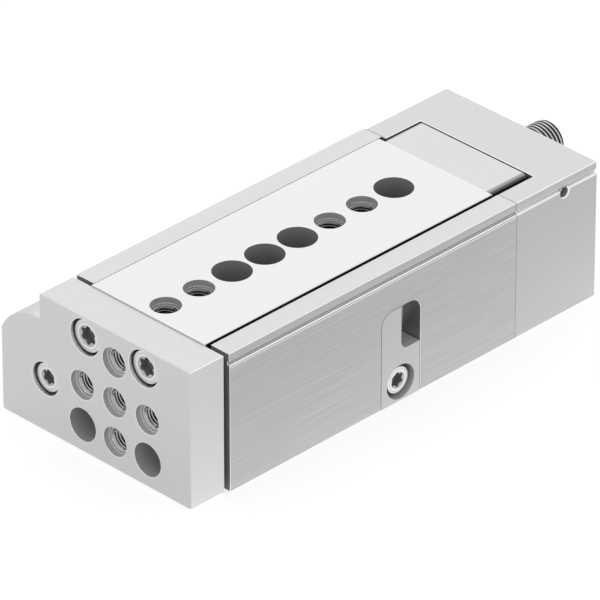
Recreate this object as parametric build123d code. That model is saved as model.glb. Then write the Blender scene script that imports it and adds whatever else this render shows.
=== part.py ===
from build123d import *
import math
import os

# Compact pneumatic slide table. A steel table runs on two crossed roller guides in the top of an
# extruded aluminium housing, and a cylinder in the lobe on its left drives it through the yoke
# plate. Everything is drawn with the table retracted. Frame: +X is the way the table comes out,
# +Y the side with the window, +Z up. The origin lies on the mounting face, on the table's centre
# line, PROFILE_FRONT behind the front end of the extruded profile. All sizes are millimetres.

# Housing profile and rear block, with the walls beside the guide channel
PROFILE_FRONT = 44.5
PROFILE_LENGTH = 88.6
HOUSING_HEIGHT = 34.6
RIGHT_WALL = 5.7
LEFT_WALL = 5.4
REAR_BLOCK_LENGTH = 25.8
REAR_BLOCK_SETBACK = 0.6

# Lobe that houses the cylinder, the same on yoke and housing but for a small inset: round at the
# top and cut flat on its left side
LOBE_RADIUS = 12.0
LOBE_SIDE_CUT = 0.9
LOBE_INSET = 0.2

# Groove along the right side, with the set back lip above it
GROOVE_LIP = 2.0
GROOVE_WIDTH = 1.1
GROOVE_DEPTH = 0.65
LIP_SETBACK = 0.2

# Guide channel with a rail seat under each lip, and the two slots for the stop block's legs
CHANNEL_HALF = 17.9
LIP_HEIGHT = 3.6
RAIL_HEIGHT = 6.2
RAIL_SEAT_DEPTH = 1.6
LEG_SLOT_INNER = 5.5
LEG_SLOT_WIDTH = 6.4
LEG_SLOT_FLOOR = 2.8
LEG_SLOT_RUNOUT = 2.0

# Table: a tee section with a vee groove in each side of its stem
TABLE_LENGTH = 88.35
TABLE_PROUD = 0.4
TABLE_SIDE_GAP = 0.4
TABLE_CAP_THICKNESS = 3.4
TABLE_STEM_HALF = 13.0
TABLE_FLOAT = 0.8
TABLE_EDGE_RADIUS = 0.4

# Hole grid of table and yoke
PITCH = 10.0
TABLE_HOLES = 8
FIRST_HOLE = 5.35
THREAD_CORE = 4.2
CENTRING_DIAMETER = 7.0
CENTRING_DEPTH = 1.6
TABLE_ACCESS_DIAMETER = 9.0

# Which of the table's holes are centred threads, and which pass the bolts of the housing
THREADED_HOLES = (0, 1, 5, 6)
BOLT_HOLES = (3, 7)

# Housing bolts from above, with centring recesses underneath
BASE_HOLE_DIAMETER = 5.5
BASE_HEAD_DIAMETER = 9.2
BASE_HEAD_DEPTH = 6.4

# Crossed roller guides: caged rollers that lean left and right in turn, between two vee grooves
ROLLER_DIAMETER = 3.0
ROLLER_LENGTH = 2.9
ROLLER_PITCH = 9.0
ROLLERS_PER_CAGE = 6
ROLLER_CLEARANCE = 0.05
GUIDE_GAP = 1.2
CAGE_THICKNESS = 0.6
CAGE_HEIGHT = 5.4
CAGE_MARGIN = 3.0
CAGE_INSET = 1.5

# Motion
STROKE = 50.0
PLUNGER_STROKE = 6.0
STOP_CLEARANCE = 0.1

# Yoke plate
YOKE_THICKNESS = 10.25
YOKE_SETBACK = 0.2
YOKE_BOTTOM = 0.3
YOKE_GAP = 1.2
YOKE_EDGE_BREAK = 0.25
YOKE_ACCESS_DIAMETER = 8.0
BUFFER_Y = 10.0
BUFFER_Z = 7.2
YOKE_SCREW_Y = 9.0
TABLE_SCREW_DEPTH = 5.3
HEAD_RECESS = 0.85

# Screws: sizes of the two threads used, and how far a blind hole runs past its screw
M5_SHANK = 5.0
M5_HEAD = 8.5
M5_HEAD_HEIGHT = 4.2
M5_COUNTERBORE = 9.1
M4_SHANK = 4.0
M4_HEAD = 7.0
M4_HEAD_HEIGHT = 3.2
M4_COUNTERBORE = 8.0
SOCKET_DEPTH = 1.8
SOCKET_SHARE = 0.45
SCREW_FIT = 0.05
SCREW_REACH = 9.0
SCREW_RESERVE = 1.0

# Cylinder in the lobe
BORE_DIAMETER = 16.0
BORE_FLOOR_WALL = 5.76
BORE_ROOF_WALL = 6.64
BORE_SIDE_WALL = 5.74
BORE_STOP_WALL = 1.29
ROD_DIAMETER = 6.0
ROD_FIT = 0.03
SEAL_FIT = 0.05
PLUG_LENGTH = 5.5
CAP_LENGTH = 10.0
CAP_DEPTH = 2.0
PISTON_LENGTH = 12.0
PISTON_FIT = 0.1
PISTON_STUB = 4.0
NUT_LENGTH = 4.0
NUT_ACROSS_FLATS = 7.0
NUT_GAP = 0.5
PORT_LAND = 0.4
RING_WIDTH = 1.0
RING_BITE = 0.5
RING_HEIGHT = 1.3
RING_OPENING = 3.0
PISTON_SEAL_WIDTH = 1.8
PISTON_SEAL_DEPTH = 1.9
MAGNET_WIDTH = 2.4
MAGNET_DEPTH = 2.2
PISTON_LAND = 1.3
BUSH_DIAMETER = 8.4
ROD_SEAL_DIAMETER = 10.4
ROD_SEAL_LENGTH = 3.0

# Proximity switch slot in the lobe
SWITCH_SLOT_DROP = 6.0
SWITCH_SLOT_NECK = 2.8
SWITCH_SLOT_BULB = 4.2
SWITCH_SLOT_DEPTH = 2.4

# Stop block behind the table, with two legs that reach down to the stops
STOP_LENGTH = 11.9
STOP_DROP = 0.2
STOP_SIDE_GAP = 1.5
STOP_GUIDE_GAP = 0.2
STOP_STEM_SETBACK = 1.8
STOP_EDGE_RADIUS = 1.2
STOP_REAR_GAP = 0.7
LEG_THICKNESS = 8.0
LEG_CLEARANCE = 0.3
STOP_SCREW_Y = 8.0

# Shock absorbers and fixed stop
REAR_ABSORBER_DIAMETER = 9.8
REAR_ABSORBER_DROP = 7.9
REAR_ABSORBER_REACH = 9.7
REAR_ABSORBER_EDGE = 0.45
FRONT_ABSORBER_DIAMETER = 8.0
FRONT_ABSORBER_DEPTH = 0.5
STOP_SOCKET_FLATS = 4.0
ABSORBER_FIT = 0.05
PLUNGER_DIAMETER = 2.8
PLUNGER_FIT = 0.08
PLUNGER_LENGTH = 14.0
PLUNGER_RESERVE = 3.0
BUFFER_LENGTH = 3.0
BUFFER_DIAMETER = 5.0
SET_SCREW_DIAMETER = 2.4
SET_SCREW_LENGTH = 8.0
SET_SCREW_DROP = 3.6
SET_SCREW_SETBACK = 4.2

# Side insert with the window at its upper rear corner
INSERT_CENTRE_X = -7.8
INSERT_WIDTH = 12.1
INSERT_WEB = 0.8
INSERT_CORNER = 3.3
INSERT_DEPTH = 5.5
INSERT_FIT = 0.05
WINDOW_WIDTH = 5.8
WINDOW_SILL = 12.9
WINDOW_CORNER = 2.0
INSERT_SCREW_Z = 4.8
INSERT_SCREW_COUNTERBORE = 8.4
INSERT_SCREW_RECESS = 0.8
INSERT_SCREW_REACH = 4.5

# Rear block screws: one below the right rail, one in the middle and one at the foot of the lobe
RAIL_SCREW_INSET = 5.1
RAIL_SCREW_DROP = 6.3
MIDDLE_SCREW_Z = 8.0
LOBE_SCREW_INSET = 5.8
LOBE_SCREW_Z = 4.8
REAR_SCREW_REACH = 9.0

# How far cutters run past the faces they open
OVERCUT = 1.0

# Places that follow from the driving dimensions
HOUSING_RIGHT = CHANNEL_HALF + RIGHT_WALL
HOUSING_LEFT = CHANNEL_HALF + LEFT_WALL
REAR_BLOCK_LEFT = HOUSING_LEFT - REAR_BLOCK_SETBACK
YOKE_HALF = HOUSING_LEFT - YOKE_SETBACK
BORE_Z = BORE_FLOOR_WALL + BORE_DIAMETER / 2
LOBE_CREST = BORE_Z + BORE_DIAMETER / 2 + BORE_ROOF_WALL
BORE_TO_STOP = (BORE_DIAMETER + FRONT_ABSORBER_DIAMETER) / 2 + BORE_STOP_WALL
BORE_Y = -BUFFER_Y - math.sqrt(BORE_TO_STOP**2 - (BORE_Z - BUFFER_Z) ** 2)
LOBE_REACH = BORE_DIAMETER / 2 + BORE_SIDE_WALL - BORE_Y
LOBE_CENTRE_Y = LOBE_RADIUS - LOBE_SIDE_CUT - LOBE_REACH
GROOVE_TOP = HOUSING_HEIGHT - GROOVE_LIP
LIP_BOTTOM = HOUSING_HEIGHT - LIP_HEIGHT
CHANNEL_FLOOR = LIP_BOTTOM - RAIL_HEIGHT
REAR_SCREW_PLACES = (
    (HOUSING_RIGHT - RAIL_SCREW_INSET, CHANNEL_FLOOR - RAIL_SCREW_DROP),
    (0, MIDDLE_SCREW_Z),
    (LOBE_SCREW_INSET - LOBE_REACH, LOBE_SCREW_Z),
)
YOKE_ROW_Z = HOUSING_HEIGHT / 2
TABLE_TOP = HOUSING_HEIGHT + TABLE_PROUD
TABLE_HALF = CHANNEL_HALF - TABLE_SIDE_GAP
TABLE_SCREW_Z = TABLE_TOP - TABLE_SCREW_DEPTH
STOP_TOP = TABLE_TOP - STOP_DROP
STOP_HALF = CHANNEL_HALF - STOP_SIDE_GAP
STOP_STEM_HALF = TABLE_STEM_HALF - STOP_STEM_SETBACK
SWITCH_SLOT_Z = LOBE_CREST - SWITCH_SLOT_DROP
REAR_ABSORBER_Z = HOUSING_HEIGHT - REAR_ABSORBER_DROP
SET_SCREW_Z = HOUSING_HEIGHT - SET_SCREW_DROP
INSERT_TOP = CHANNEL_FLOOR - INSERT_WEB
PROFILE_REAR = PROFILE_FRONT - PROFILE_LENGTH
BLOCK_REAR = PROFILE_REAR - REAR_BLOCK_LENGTH
YOKE_REAR = PROFILE_FRONT + YOKE_GAP
YOKE_FRONT = YOKE_REAR + YOKE_THICKNESS
TABLE_FRONT = YOKE_REAR
TABLE_REAR = TABLE_FRONT - TABLE_LENGTH
TABLE_SHOULDER = TABLE_TOP - TABLE_CAP_THICKNESS
TABLE_BOTTOM = CHANNEL_FLOOR + TABLE_FLOAT
STOP_REAR = TABLE_REAR - STOP_LENGTH
RECESS_REAR = STOP_REAR - STOP_REAR_GAP
STOP_FACE_OUT = TABLE_REAR + STROKE
RAIL_INNER = TABLE_STEM_HALF + GUIDE_GAP
RAIL_OUTER = CHANNEL_HALF + RAIL_SEAT_DEPTH
ROLLER_Y = TABLE_STEM_HALF + GUIDE_GAP / 2
ROLLER_Z = (CHANNEL_FLOOR + LIP_BOTTOM) / 2
CAGE_REAR = PROFILE_REAR + CAGE_INSET
CAGE_LENGTH = (ROLLERS_PER_CAGE - 1) * ROLLER_PITCH + ROLLER_DIAMETER + 2 * CAGE_MARGIN
PLUG_FRONT = PROFILE_REAR + PLUG_LENGTH
NUT_REAR = PLUG_FRONT + NUT_GAP
PISTON_REAR = NUT_REAR + NUT_LENGTH
PISTON_FRONT = PISTON_REAR + PISTON_LENGTH
CAP_FRONT = PROFILE_FRONT - CAP_DEPTH
CAP_REAR = CAP_FRONT - CAP_LENGTH
ROD_SEAL_SEAT = CAP_FRONT - ROD_SEAL_LENGTH
PISTON_SEAL_X = PISTON_FRONT - PISTON_LAND - PISTON_SEAL_WIDTH
MAGNET_X = PISTON_REAR + PISTON_LAND
REAR_PORT_X = PLUG_FRONT + PORT_LAND + THREAD_CORE / 2
FRONT_PORT_X = CAP_REAR - PORT_LAND - THREAD_CORE / 2
INNER_BUFFER_X = STOP_FACE_OUT + STOP_CLEARANCE
ABSORBER_FRONT = STOP_REAR - STOP_CLEARANCE
LEG_OUTER = LEG_SLOT_INNER + LEG_SLOT_WIDTH
INSERT_FLOOR = HOUSING_RIGHT - INSERT_DEPTH
INSERT_REAR = INSERT_CENTRE_X - INSERT_WIDTH / 2
INSERT_FRONT = INSERT_CENTRE_X + INSERT_WIDTH / 2


def table_hole_x(index):
    """Place of one of the table's holes along X."""
    return TABLE_FRONT - FIRST_HOLE - index * PITCH


def along_x(sketch, x_from, x_to):
    """Extrude a YZ sketch between two places on X."""
    return extrude(Plane.YZ.offset(x_from) * sketch, x_to - x_from)


def rod_x(diameter, x_from, x_to, y, z):
    """Round bar along X."""
    return along_x(Pos(y, z) * Circle(diameter / 2), x_from, x_to)


def rod_y(diameter, y_from, y_to, x, z):
    """Round bar along Y."""
    return Pos(x, (y_from + y_to) / 2, z) * Rot(90, 0, 0) * Cylinder(diameter / 2, y_to - y_from)


def rod_z(diameter, z_from, z_to, x, y):
    """Round bar along Z."""
    return Pos(x, y, (z_from + z_to) / 2) * Cylinder(diameter / 2, z_to - z_from)


def slab(y_from, y_to, z_from, z_to):
    """Rectangle in the YZ section, by its limits."""
    size = Rectangle(y_to - y_from, z_to - z_from)
    return Pos((y_from + y_to) / 2, (z_from + z_to) / 2) * size


def turned(points, y, z):
    """Solid of revolution about an axis along X, from (x, radius) points."""
    half_section = make_face(Polyline(*points, close=True))
    return Pos(0, y, z) * revolve(half_section, Axis.X)


def section_outline(left, right, bottom, inset):
    """Outer shape of yoke and housing in the YZ section: a block with the cylinder's lobe."""
    block = slab(-left, right, bottom, HOUSING_HEIGHT)
    crest = LOBE_CREST - inset
    side = inset - LOBE_REACH
    centre_z = LOBE_CREST - LOBE_RADIUS
    lobe = Pos(LOBE_CENTRE_Y, centre_z) * Circle(LOBE_RADIUS - inset)
    lobe += slab(side, LOBE_CENTRE_Y, bottom, centre_z)
    lobe += slab(LOBE_CENTRE_Y, 0, bottom, crest)
    return block + (lobe & slab(side, 0, bottom, crest))


def side_groove():
    """Section of the groove and the set back lip on the right side of the housing."""
    outside = HOUSING_RIGHT + OVERCUT
    groove = slab(HOUSING_RIGHT - GROOVE_DEPTH, outside, GROOVE_TOP - GROOVE_WIDTH, GROOVE_TOP)
    return groove + slab(HOUSING_RIGHT - LIP_SETBACK, outside, GROOVE_TOP, HOUSING_HEIGHT + OVERCUT)


def guide_channel():
    """Section of the open channel between the lips."""
    return slab(-CHANNEL_HALF, CHANNEL_HALF, CHANNEL_FLOOR, HOUSING_HEIGHT + OVERCUT)


def leg_slots():
    """Section of the two slots in the channel's floor that the stop block's legs run in."""
    right = slab(LEG_SLOT_INNER, LEG_OUTER, LEG_SLOT_FLOOR, CHANNEL_FLOOR + OVERCUT)
    return right + slab(-LEG_OUTER, -LEG_SLOT_INNER, LEG_SLOT_FLOOR, CHANNEL_FLOOR + OVERCUT)


def tee_section(cap_half, stem_half, top):
    """Section of what runs in the channel: a cap over the lips' level and a stem below."""
    cap = slab(-cap_half, cap_half, TABLE_SHOULDER, top)
    return cap + slab(-stem_half, stem_half, TABLE_BOTTOM, TABLE_SHOULDER)


def vee_grooves(side):
    """Section of the two vee grooves that face each other on one side: a square on its corner."""
    across = ROLLER_DIAMETER + 2 * ROLLER_CLEARANCE
    return Pos(side * ROLLER_Y, ROLLER_Z) * Rot(0, 0, 45) * Rectangle(across, across)


def centred_thread_z(x):
    """Cutter for a centred thread in the top of the table."""
    core = rod_z(THREAD_CORE, TABLE_BOTTOM - OVERCUT, TABLE_TOP + OVERCUT, x, 0)
    return core + rod_z(CENTRING_DIAMETER, TABLE_TOP - CENTRING_DEPTH, TABLE_TOP + OVERCUT, x, 0)


def centred_thread_x(y, z):
    """Cutter for a centred thread in the front of the yoke."""
    core = rod_x(THREAD_CORE, YOKE_REAR - OVERCUT, YOKE_FRONT + OVERCUT, y, z)
    return core + rod_x(CENTRING_DIAMETER, YOKE_FRONT - CENTRING_DEPTH, YOKE_FRONT + OVERCUT, y, z)


def cap_screw(head, height, shank, length):
    """Cap screw along Z: the top of its head at the origin, its shank pointing down."""
    screw = rod_z(head, -height, 0, 0, 0) + rod_z(shank, -height - length, 0, 0, 0)
    return screw - extrude(hexagon(head * SOCKET_SHARE), -SOCKET_DEPTH)


def hexagon(across_flats):
    """Regular hexagon by its width across the flats."""
    return RegularPolygon(across_flats / 2, 6, major_radius=False)


def sunk_hole_x(counterbore, head_height, shank, x_face, x_far, y, z):
    """Cutter for a cap screw whose head sinks into the face at x_face and whose shank leaves at x_far."""
    inward = math.copysign(1, x_far - x_face)
    seat = x_face + inward * (HEAD_RECESS + head_height)
    cutter = rod_x(counterbore, x_face - inward * OVERCUT, seat, y, z)
    return cutter + rod_x(shank + 2 * SCREW_FIT, seat, x_far + inward * OVERCUT, y, z)


def facing_front(x, y, z):
    """Place for a screw whose head faces +X."""
    return Pos(x, y, z) * Rot(0, 90, 0)


def facing_rear(x, y, z):
    """Place for a screw whose head faces -X."""
    return Pos(x, y, z) * Rot(0, -90, 0)


def housing_profile():
    """The extrusion with everything that is machined into it."""
    outline = section_outline(HOUSING_LEFT, HOUSING_RIGHT, 0, LOBE_INSET)
    reach = -LOBE_REACH + LOBE_INSET
    neck = SWITCH_SLOT_NECK / 2
    rail_seats = slab(-RAIL_OUTER, RAIL_OUTER, CHANNEL_FLOOR, LIP_BOTTOM)
    switch_slot = Pos(reach + SWITCH_SLOT_DEPTH, SWITCH_SLOT_Z) * Circle(SWITCH_SLOT_BULB / 2)
    mouth = (reach - OVERCUT, reach + SWITCH_SLOT_DEPTH)
    switch_slot += slab(*mouth, SWITCH_SLOT_Z - neck, SWITCH_SLOT_Z + neck)
    section = outline - guide_channel() - rail_seats - switch_slot - side_groove()
    section -= Pos(BORE_Y, BORE_Z) * Circle(BORE_DIAMETER / 2)
    body = along_x(section, PROFILE_REAR, PROFILE_FRONT)

    body -= along_x(leg_slots(), PROFILE_REAR - OVERCUT, STOP_FACE_OUT + LEG_SLOT_RUNOUT)
    stop_bore = FRONT_ABSORBER_DIAMETER + 2 * ABSORBER_FIT
    for y in (-BUFFER_Y, BUFFER_Y):
        body -= rod_x(stop_bore, INNER_BUFFER_X - OVERCUT, PROFILE_FRONT + OVERCUT, y, BUFFER_Z)

    ring_front = CAP_FRONT + RING_WIDTH + SCREW_FIT
    ring_bore = BORE_DIAMETER + 2 * (RING_BITE + SEAL_FIT)
    body -= rod_x(ring_bore, CAP_FRONT - SCREW_FIT, ring_front, BORE_Y, BORE_Z)
    for x in (REAR_PORT_X, FRONT_PORT_X):
        body -= rod_y(THREAD_CORE, reach - OVERCUT, BORE_Y, x, BORE_Z)

    above_floor = CHANNEL_FLOOR + OVERCUT
    for index in BOLT_HOLES:
        x = table_hole_x(index)
        body -= rod_z(BASE_HOLE_DIAMETER, -OVERCUT, above_floor, x, 0)
        body -= rod_z(BASE_HEAD_DIAMETER, CHANNEL_FLOOR - BASE_HEAD_DEPTH, above_floor, x, 0)
        body -= rod_z(CENTRING_DIAMETER, -OVERCUT, CENTRING_DEPTH, x, 0)

    body -= insert_pocket()
    m4_hole = M4_SHANK + 2 * SCREW_FIT
    hole_end = INSERT_FLOOR - INSERT_SCREW_REACH - SCREW_RESERVE
    body -= rod_y(m4_hole, hole_end, INSERT_FLOOR + OVERCUT, INSERT_CENTRE_X, INSERT_SCREW_Z)
    for y, z in REAR_SCREW_PLACES:
        hole_end = PROFILE_REAR + REAR_SCREW_REACH + SCREW_RESERVE
        body -= rod_x(m4_hole, PROFILE_REAR - OVERCUT, hole_end, y, z)
    return body


def insert_pocket():
    """Cutter for the side insert's pocket, round at its top corners."""
    face = make_face(Polyline(
        (INSERT_REAR, -OVERCUT), (INSERT_FRONT, -OVERCUT), (INSERT_FRONT, INSERT_TOP),
        (INSERT_REAR, INSERT_TOP), close=True,
    ))
    tops = face.vertices().group_by(Axis.Y)[-1]
    rounded = fillet(tops, INSERT_CORNER)
    return extrude(Plane.XZ.offset(-INSERT_FLOOR) * rounded, -INSERT_DEPTH - OVERCUT)


def side_insert():
    """Flush insert in the right side, notched for the window."""
    rear = INSERT_REAR + INSERT_FIT
    front = INSERT_FRONT - INSERT_FIT
    top = INSERT_TOP - INSERT_FIT
    window_front = INSERT_REAR + WINDOW_WIDTH
    outline = Polyline(
        (rear, 0), (front, 0), (front, top), (window_front, top), (window_front, WINDOW_SILL),
        (rear, WINDOW_SILL), close=True,
    )
    face = make_face(outline)
    crown = face.vertices().sort_by_distance(Vector(front, top))[0]
    face = fillet(crown, INSERT_CORNER - INSERT_FIT)
    notch = face.vertices().sort_by_distance(Vector(window_front, WINDOW_SILL))[0]
    face = fillet(notch, WINDOW_CORNER)
    insert = extrude(Plane.XZ.offset(-INSERT_FLOOR) * face, -INSERT_DEPTH)
    head_seat = HOUSING_RIGHT - INSERT_SCREW_RECESS - M4_HEAD_HEIGHT
    screw_place = (INSERT_CENTRE_X, INSERT_SCREW_Z)
    insert -= rod_y(INSERT_SCREW_COUNTERBORE, head_seat, HOUSING_RIGHT + OVERCUT, *screw_place)
    return insert - rod_y(M4_SHANK + 2 * SCREW_FIT, INSERT_FLOOR - OVERCUT, HOUSING_RIGHT, *screw_place)


def side_insert_screw():
    """Cap screw that holds the side insert."""
    top = HOUSING_RIGHT - INSERT_SCREW_RECESS
    length = top - M4_HEAD_HEIGHT - INSERT_FLOOR + INSERT_SCREW_REACH
    screw = cap_screw(M4_HEAD, M4_HEAD_HEIGHT, M4_SHANK, length)
    return Pos(INSERT_CENTRE_X, top, INSERT_SCREW_Z) * Rot(-90, 0, 0) * screw


def rear_block():
    """Block that closes the housing, with the recess whose left wall guides the stop block."""
    section = section_outline(REAR_BLOCK_LEFT, HOUSING_RIGHT, 0, LOBE_INSET) - side_groove()
    body = along_x(section, BLOCK_REAR, PROFILE_REAR)
    left_wall = -STOP_HALF - STOP_GUIDE_GAP
    recess = slab(left_wall, CHANNEL_HALF, CHANNEL_FLOOR, HOUSING_HEIGHT + OVERCUT)
    body -= along_x(recess + leg_slots(), RECESS_REAR, PROFILE_REAR + OVERCUT)
    bore = REAR_ABSORBER_DIAMETER + 2 * ABSORBER_FIT
    body -= rod_x(bore, BLOCK_REAR - OVERCUT, ABSORBER_FRONT + OVERCUT, 0, REAR_ABSORBER_Z)
    set_bore = SET_SCREW_DIAMETER + 2 * SCREW_FIT
    body -= rod_y(set_bore, 0, HOUSING_RIGHT + OVERCUT, RECESS_REAR - SET_SCREW_SETBACK, SET_SCREW_Z)
    for y, z in REAR_SCREW_PLACES:
        body -= sunk_hole_x(M4_COUNTERBORE, M4_HEAD_HEIGHT, M4_SHANK, BLOCK_REAR, PROFILE_REAR, y, z)
    return body


def rear_block_screws():
    """The cap screws that hold the rear block."""
    length = REAR_BLOCK_LENGTH - HEAD_RECESS - M4_HEAD_HEIGHT + REAR_SCREW_REACH
    screw = cap_screw(M4_HEAD, M4_HEAD_HEIGHT, M4_SHANK, length)
    return [facing_rear(BLOCK_REAR + HEAD_RECESS, y, z) * screw for y, z in REAR_SCREW_PLACES]


def guide_rail(side):
    """Hardened rail under one lip, with its vee groove."""
    edges = sorted((side * RAIL_INNER, side * RAIL_OUTER))
    section = slab(edges[0], edges[1], CHANNEL_FLOOR, LIP_BOTTOM) - vee_grooves(side)
    return along_x(section, PROFILE_REAR, PROFILE_FRONT)


def roller_place(side, index):
    """Place of one roller, counted from the rear of its cage; its axis leans the other way each time."""
    x = CAGE_REAR + CAGE_MARGIN + ROLLER_DIAMETER / 2 + index * ROLLER_PITCH
    lean = 45 if index % 2 else -45
    return Pos(x, side * ROLLER_Y, ROLLER_Z) * Rot(lean, 0, 0)


def roller_cage(side):
    """Flat strip with a pocket for each roller."""
    centre_x = CAGE_REAR + CAGE_LENGTH / 2
    cage = Pos(centre_x, side * ROLLER_Y, ROLLER_Z) * Box(CAGE_LENGTH, CAGE_THICKNESS, CAGE_HEIGHT)
    window = ROLLER_DIAMETER + 2 * ROLLER_CLEARANCE
    tall = (ROLLER_DIAMETER + ROLLER_LENGTH) / math.sqrt(2) + 2 * ROLLER_CLEARANCE
    for index in range(ROLLERS_PER_CAGE):
        upright = Pos(roller_place(side, index).position)
        cage -= upright * Box(window, 2 * CAGE_THICKNESS, tall)
    return cage


def guide_rollers(side):
    """The rollers of one cage."""
    roller = Cylinder(ROLLER_DIAMETER / 2, ROLLER_LENGTH)
    return [roller_place(side, index) * roller for index in range(ROLLERS_PER_CAGE)]


def slide_table():
    """The steel table with its hole row and vee grooves."""
    section = tee_section(TABLE_HALF, TABLE_STEM_HALF, TABLE_TOP)
    for side in (-1, 1):
        section -= vee_grooves(side)
    table = along_x(section, TABLE_REAR, TABLE_FRONT)
    top_edges = table.faces().sort_by(Axis.Z)[-1].edges().filter_by(Axis.X)
    table = fillet(top_edges, TABLE_EDGE_RADIUS)
    for index in range(TABLE_HOLES):
        x = table_hole_x(index)
        if index in THREADED_HOLES:
            table -= centred_thread_z(x)
        else:
            table -= rod_z(TABLE_ACCESS_DIAMETER, TABLE_BOTTOM - OVERCUT, TABLE_TOP + OVERCUT, x, 0)
    depth = SCREW_REACH + SCREW_RESERVE
    for y in (-YOKE_SCREW_Y, YOKE_SCREW_Y):
        front_bore = M5_SHANK + 2 * SCREW_FIT
        table -= rod_x(front_bore, TABLE_FRONT - depth, TABLE_FRONT + OVERCUT, y, TABLE_SCREW_Z)
    for y in (-STOP_SCREW_Y, STOP_SCREW_Y):
        rear_bore = M4_SHANK + 2 * SCREW_FIT
        table -= rod_x(rear_bore, TABLE_REAR - OVERCUT, TABLE_REAR + depth, y, TABLE_SCREW_Z)
    return table


def yoke_plate():
    """The front plate that joins the table and the piston rod."""
    outline = section_outline(YOKE_HALF, YOKE_HALF, YOKE_BOTTOM, 0)
    plate = along_x(outline, YOKE_REAR, YOKE_FRONT)
    plate = chamfer(plate.faces().sort_by(Axis.X)[-1].edges(), YOKE_EDGE_BREAK)
    for step_y, step_z in ((0, 0), (1, 0), (-1, 0), (0, 1), (0, -1)):
        plate -= centred_thread_x(step_y * PITCH, YOKE_ROW_Z + step_z * PITCH)
    ends = (YOKE_FRONT, YOKE_REAR)
    for side in (-1, 1):
        place = (side * BUFFER_Y, BUFFER_Z)
        plate -= rod_x(YOKE_ACCESS_DIAMETER, YOKE_REAR - OVERCUT, YOKE_FRONT + OVERCUT, *place)
        place = (side * YOKE_SCREW_Y, TABLE_SCREW_Z)
        plate -= sunk_hole_x(M5_COUNTERBORE, M5_HEAD_HEIGHT, M5_SHANK, *ends, *place)
    return plate - sunk_hole_x(M4_COUNTERBORE, M4_HEAD_HEIGHT, M4_SHANK, *ends, BORE_Y, BORE_Z)


def yoke_screws():
    """Two cap screws that hold the yoke to the table."""
    length = YOKE_THICKNESS - HEAD_RECESS - M5_HEAD_HEIGHT + SCREW_REACH
    screw = cap_screw(M5_HEAD, M5_HEAD_HEIGHT, M5_SHANK, length)
    x = YOKE_FRONT - HEAD_RECESS
    return [facing_front(x, side * YOKE_SCREW_Y, TABLE_SCREW_Z) * screw for side in (-1, 1)]


def rod_screw():
    """Cap screw that pulls the piston rod against the yoke."""
    length = YOKE_THICKNESS - HEAD_RECESS - M4_HEAD_HEIGHT + SCREW_REACH
    screw = cap_screw(M4_HEAD, M4_HEAD_HEIGHT, M4_SHANK, length)
    return facing_front(YOKE_FRONT - HEAD_RECESS, BORE_Y, BORE_Z) * screw


def piston_rod():
    """Rod with a stub for the piston and a thread for the yoke's screw."""
    rod = turned(
        (
            (NUT_REAR, 0), (NUT_REAR, PISTON_STUB / 2), (PISTON_FRONT, PISTON_STUB / 2),
            (PISTON_FRONT, ROD_DIAMETER / 2), (YOKE_REAR, ROD_DIAMETER / 2), (YOKE_REAR, 0),
        ),
        BORE_Y, BORE_Z,
    )
    end = YOKE_REAR - SCREW_REACH - SCREW_RESERVE
    return rod - rod_x(M4_SHANK + 2 * SCREW_FIT, end, YOKE_REAR + OVERCUT, BORE_Y, BORE_Z)


def piston_ring(x_from, width, depth, radial_gap):
    """A ring in one of the piston's grooves."""
    outer = BORE_DIAMETER / 2 - radial_gap
    inner = BORE_DIAMETER / 2 - PISTON_FIT - depth + SEAL_FIT
    points = ((x_from, inner), (x_from + width, inner), (x_from + width, outer), (x_from, outer))
    return turned(points, BORE_Y, BORE_Z)


def piston():
    """Piston with grooves for its seal and magnet."""
    outer = BORE_DIAMETER / 2 - PISTON_FIT
    inner = PISTON_STUB / 2 + ROD_FIT
    points = ((PISTON_REAR, inner), (PISTON_FRONT, inner), (PISTON_FRONT, outer), (PISTON_REAR, outer))
    body = turned(points, BORE_Y, BORE_Z)
    grooves = (
        (PISTON_SEAL_X, PISTON_SEAL_WIDTH, PISTON_SEAL_DEPTH), (MAGNET_X, MAGNET_WIDTH, MAGNET_DEPTH),
    )
    for x, width, depth in grooves:
        bed = outer - depth
        outside = outer + OVERCUT
        section = ((x, bed), (x + width, bed), (x + width, outside), (x, outside))
        body -= turned(section, BORE_Y, BORE_Z)
    return body


def piston_nut():
    """Hexagon nut that holds the piston on the rod's stub."""
    section = hexagon(NUT_ACROSS_FLATS) - Circle(PISTON_STUB / 2 + ROD_FIT)
    return along_x(Pos(BORE_Y, BORE_Z) * section, NUT_REAR, PISTON_REAR)


def bearing_cap():
    """Front cap of the cylinder, with seats for rod bush and rod seal."""
    outer = BORE_DIAMETER / 2 - SEAL_FIT
    bush_seat = BUSH_DIAMETER / 2
    seal_seat = ROD_SEAL_DIAMETER / 2
    points = (
        (CAP_REAR, bush_seat), (ROD_SEAL_SEAT, bush_seat), (ROD_SEAL_SEAT, seal_seat),
        (CAP_FRONT, seal_seat), (CAP_FRONT, outer), (CAP_REAR, outer),
    )
    return turned(points, BORE_Y, BORE_Z)


def ring_about_rod(x_from, x_to, outer_diameter, inner_gap):
    """Plain ring around the piston rod."""
    outer = outer_diameter / 2 - ROD_FIT
    inner = ROD_DIAMETER / 2 + inner_gap
    return turned(((x_from, inner), (x_to, inner), (x_to, outer), (x_from, outer)), BORE_Y, BORE_Z)


def retaining_ring():
    """Open ring that holds the bearing cap in the bore."""
    outer = BORE_DIAMETER / 2 + RING_BITE
    section = Circle(outer) - Circle(BORE_DIAMETER / 2 - RING_HEIGHT)
    section -= Pos(0, -outer) * Rectangle(RING_OPENING, outer)
    return along_x(Pos(BORE_Y, BORE_Z) * section, CAP_FRONT, CAP_FRONT + RING_WIDTH)


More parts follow.
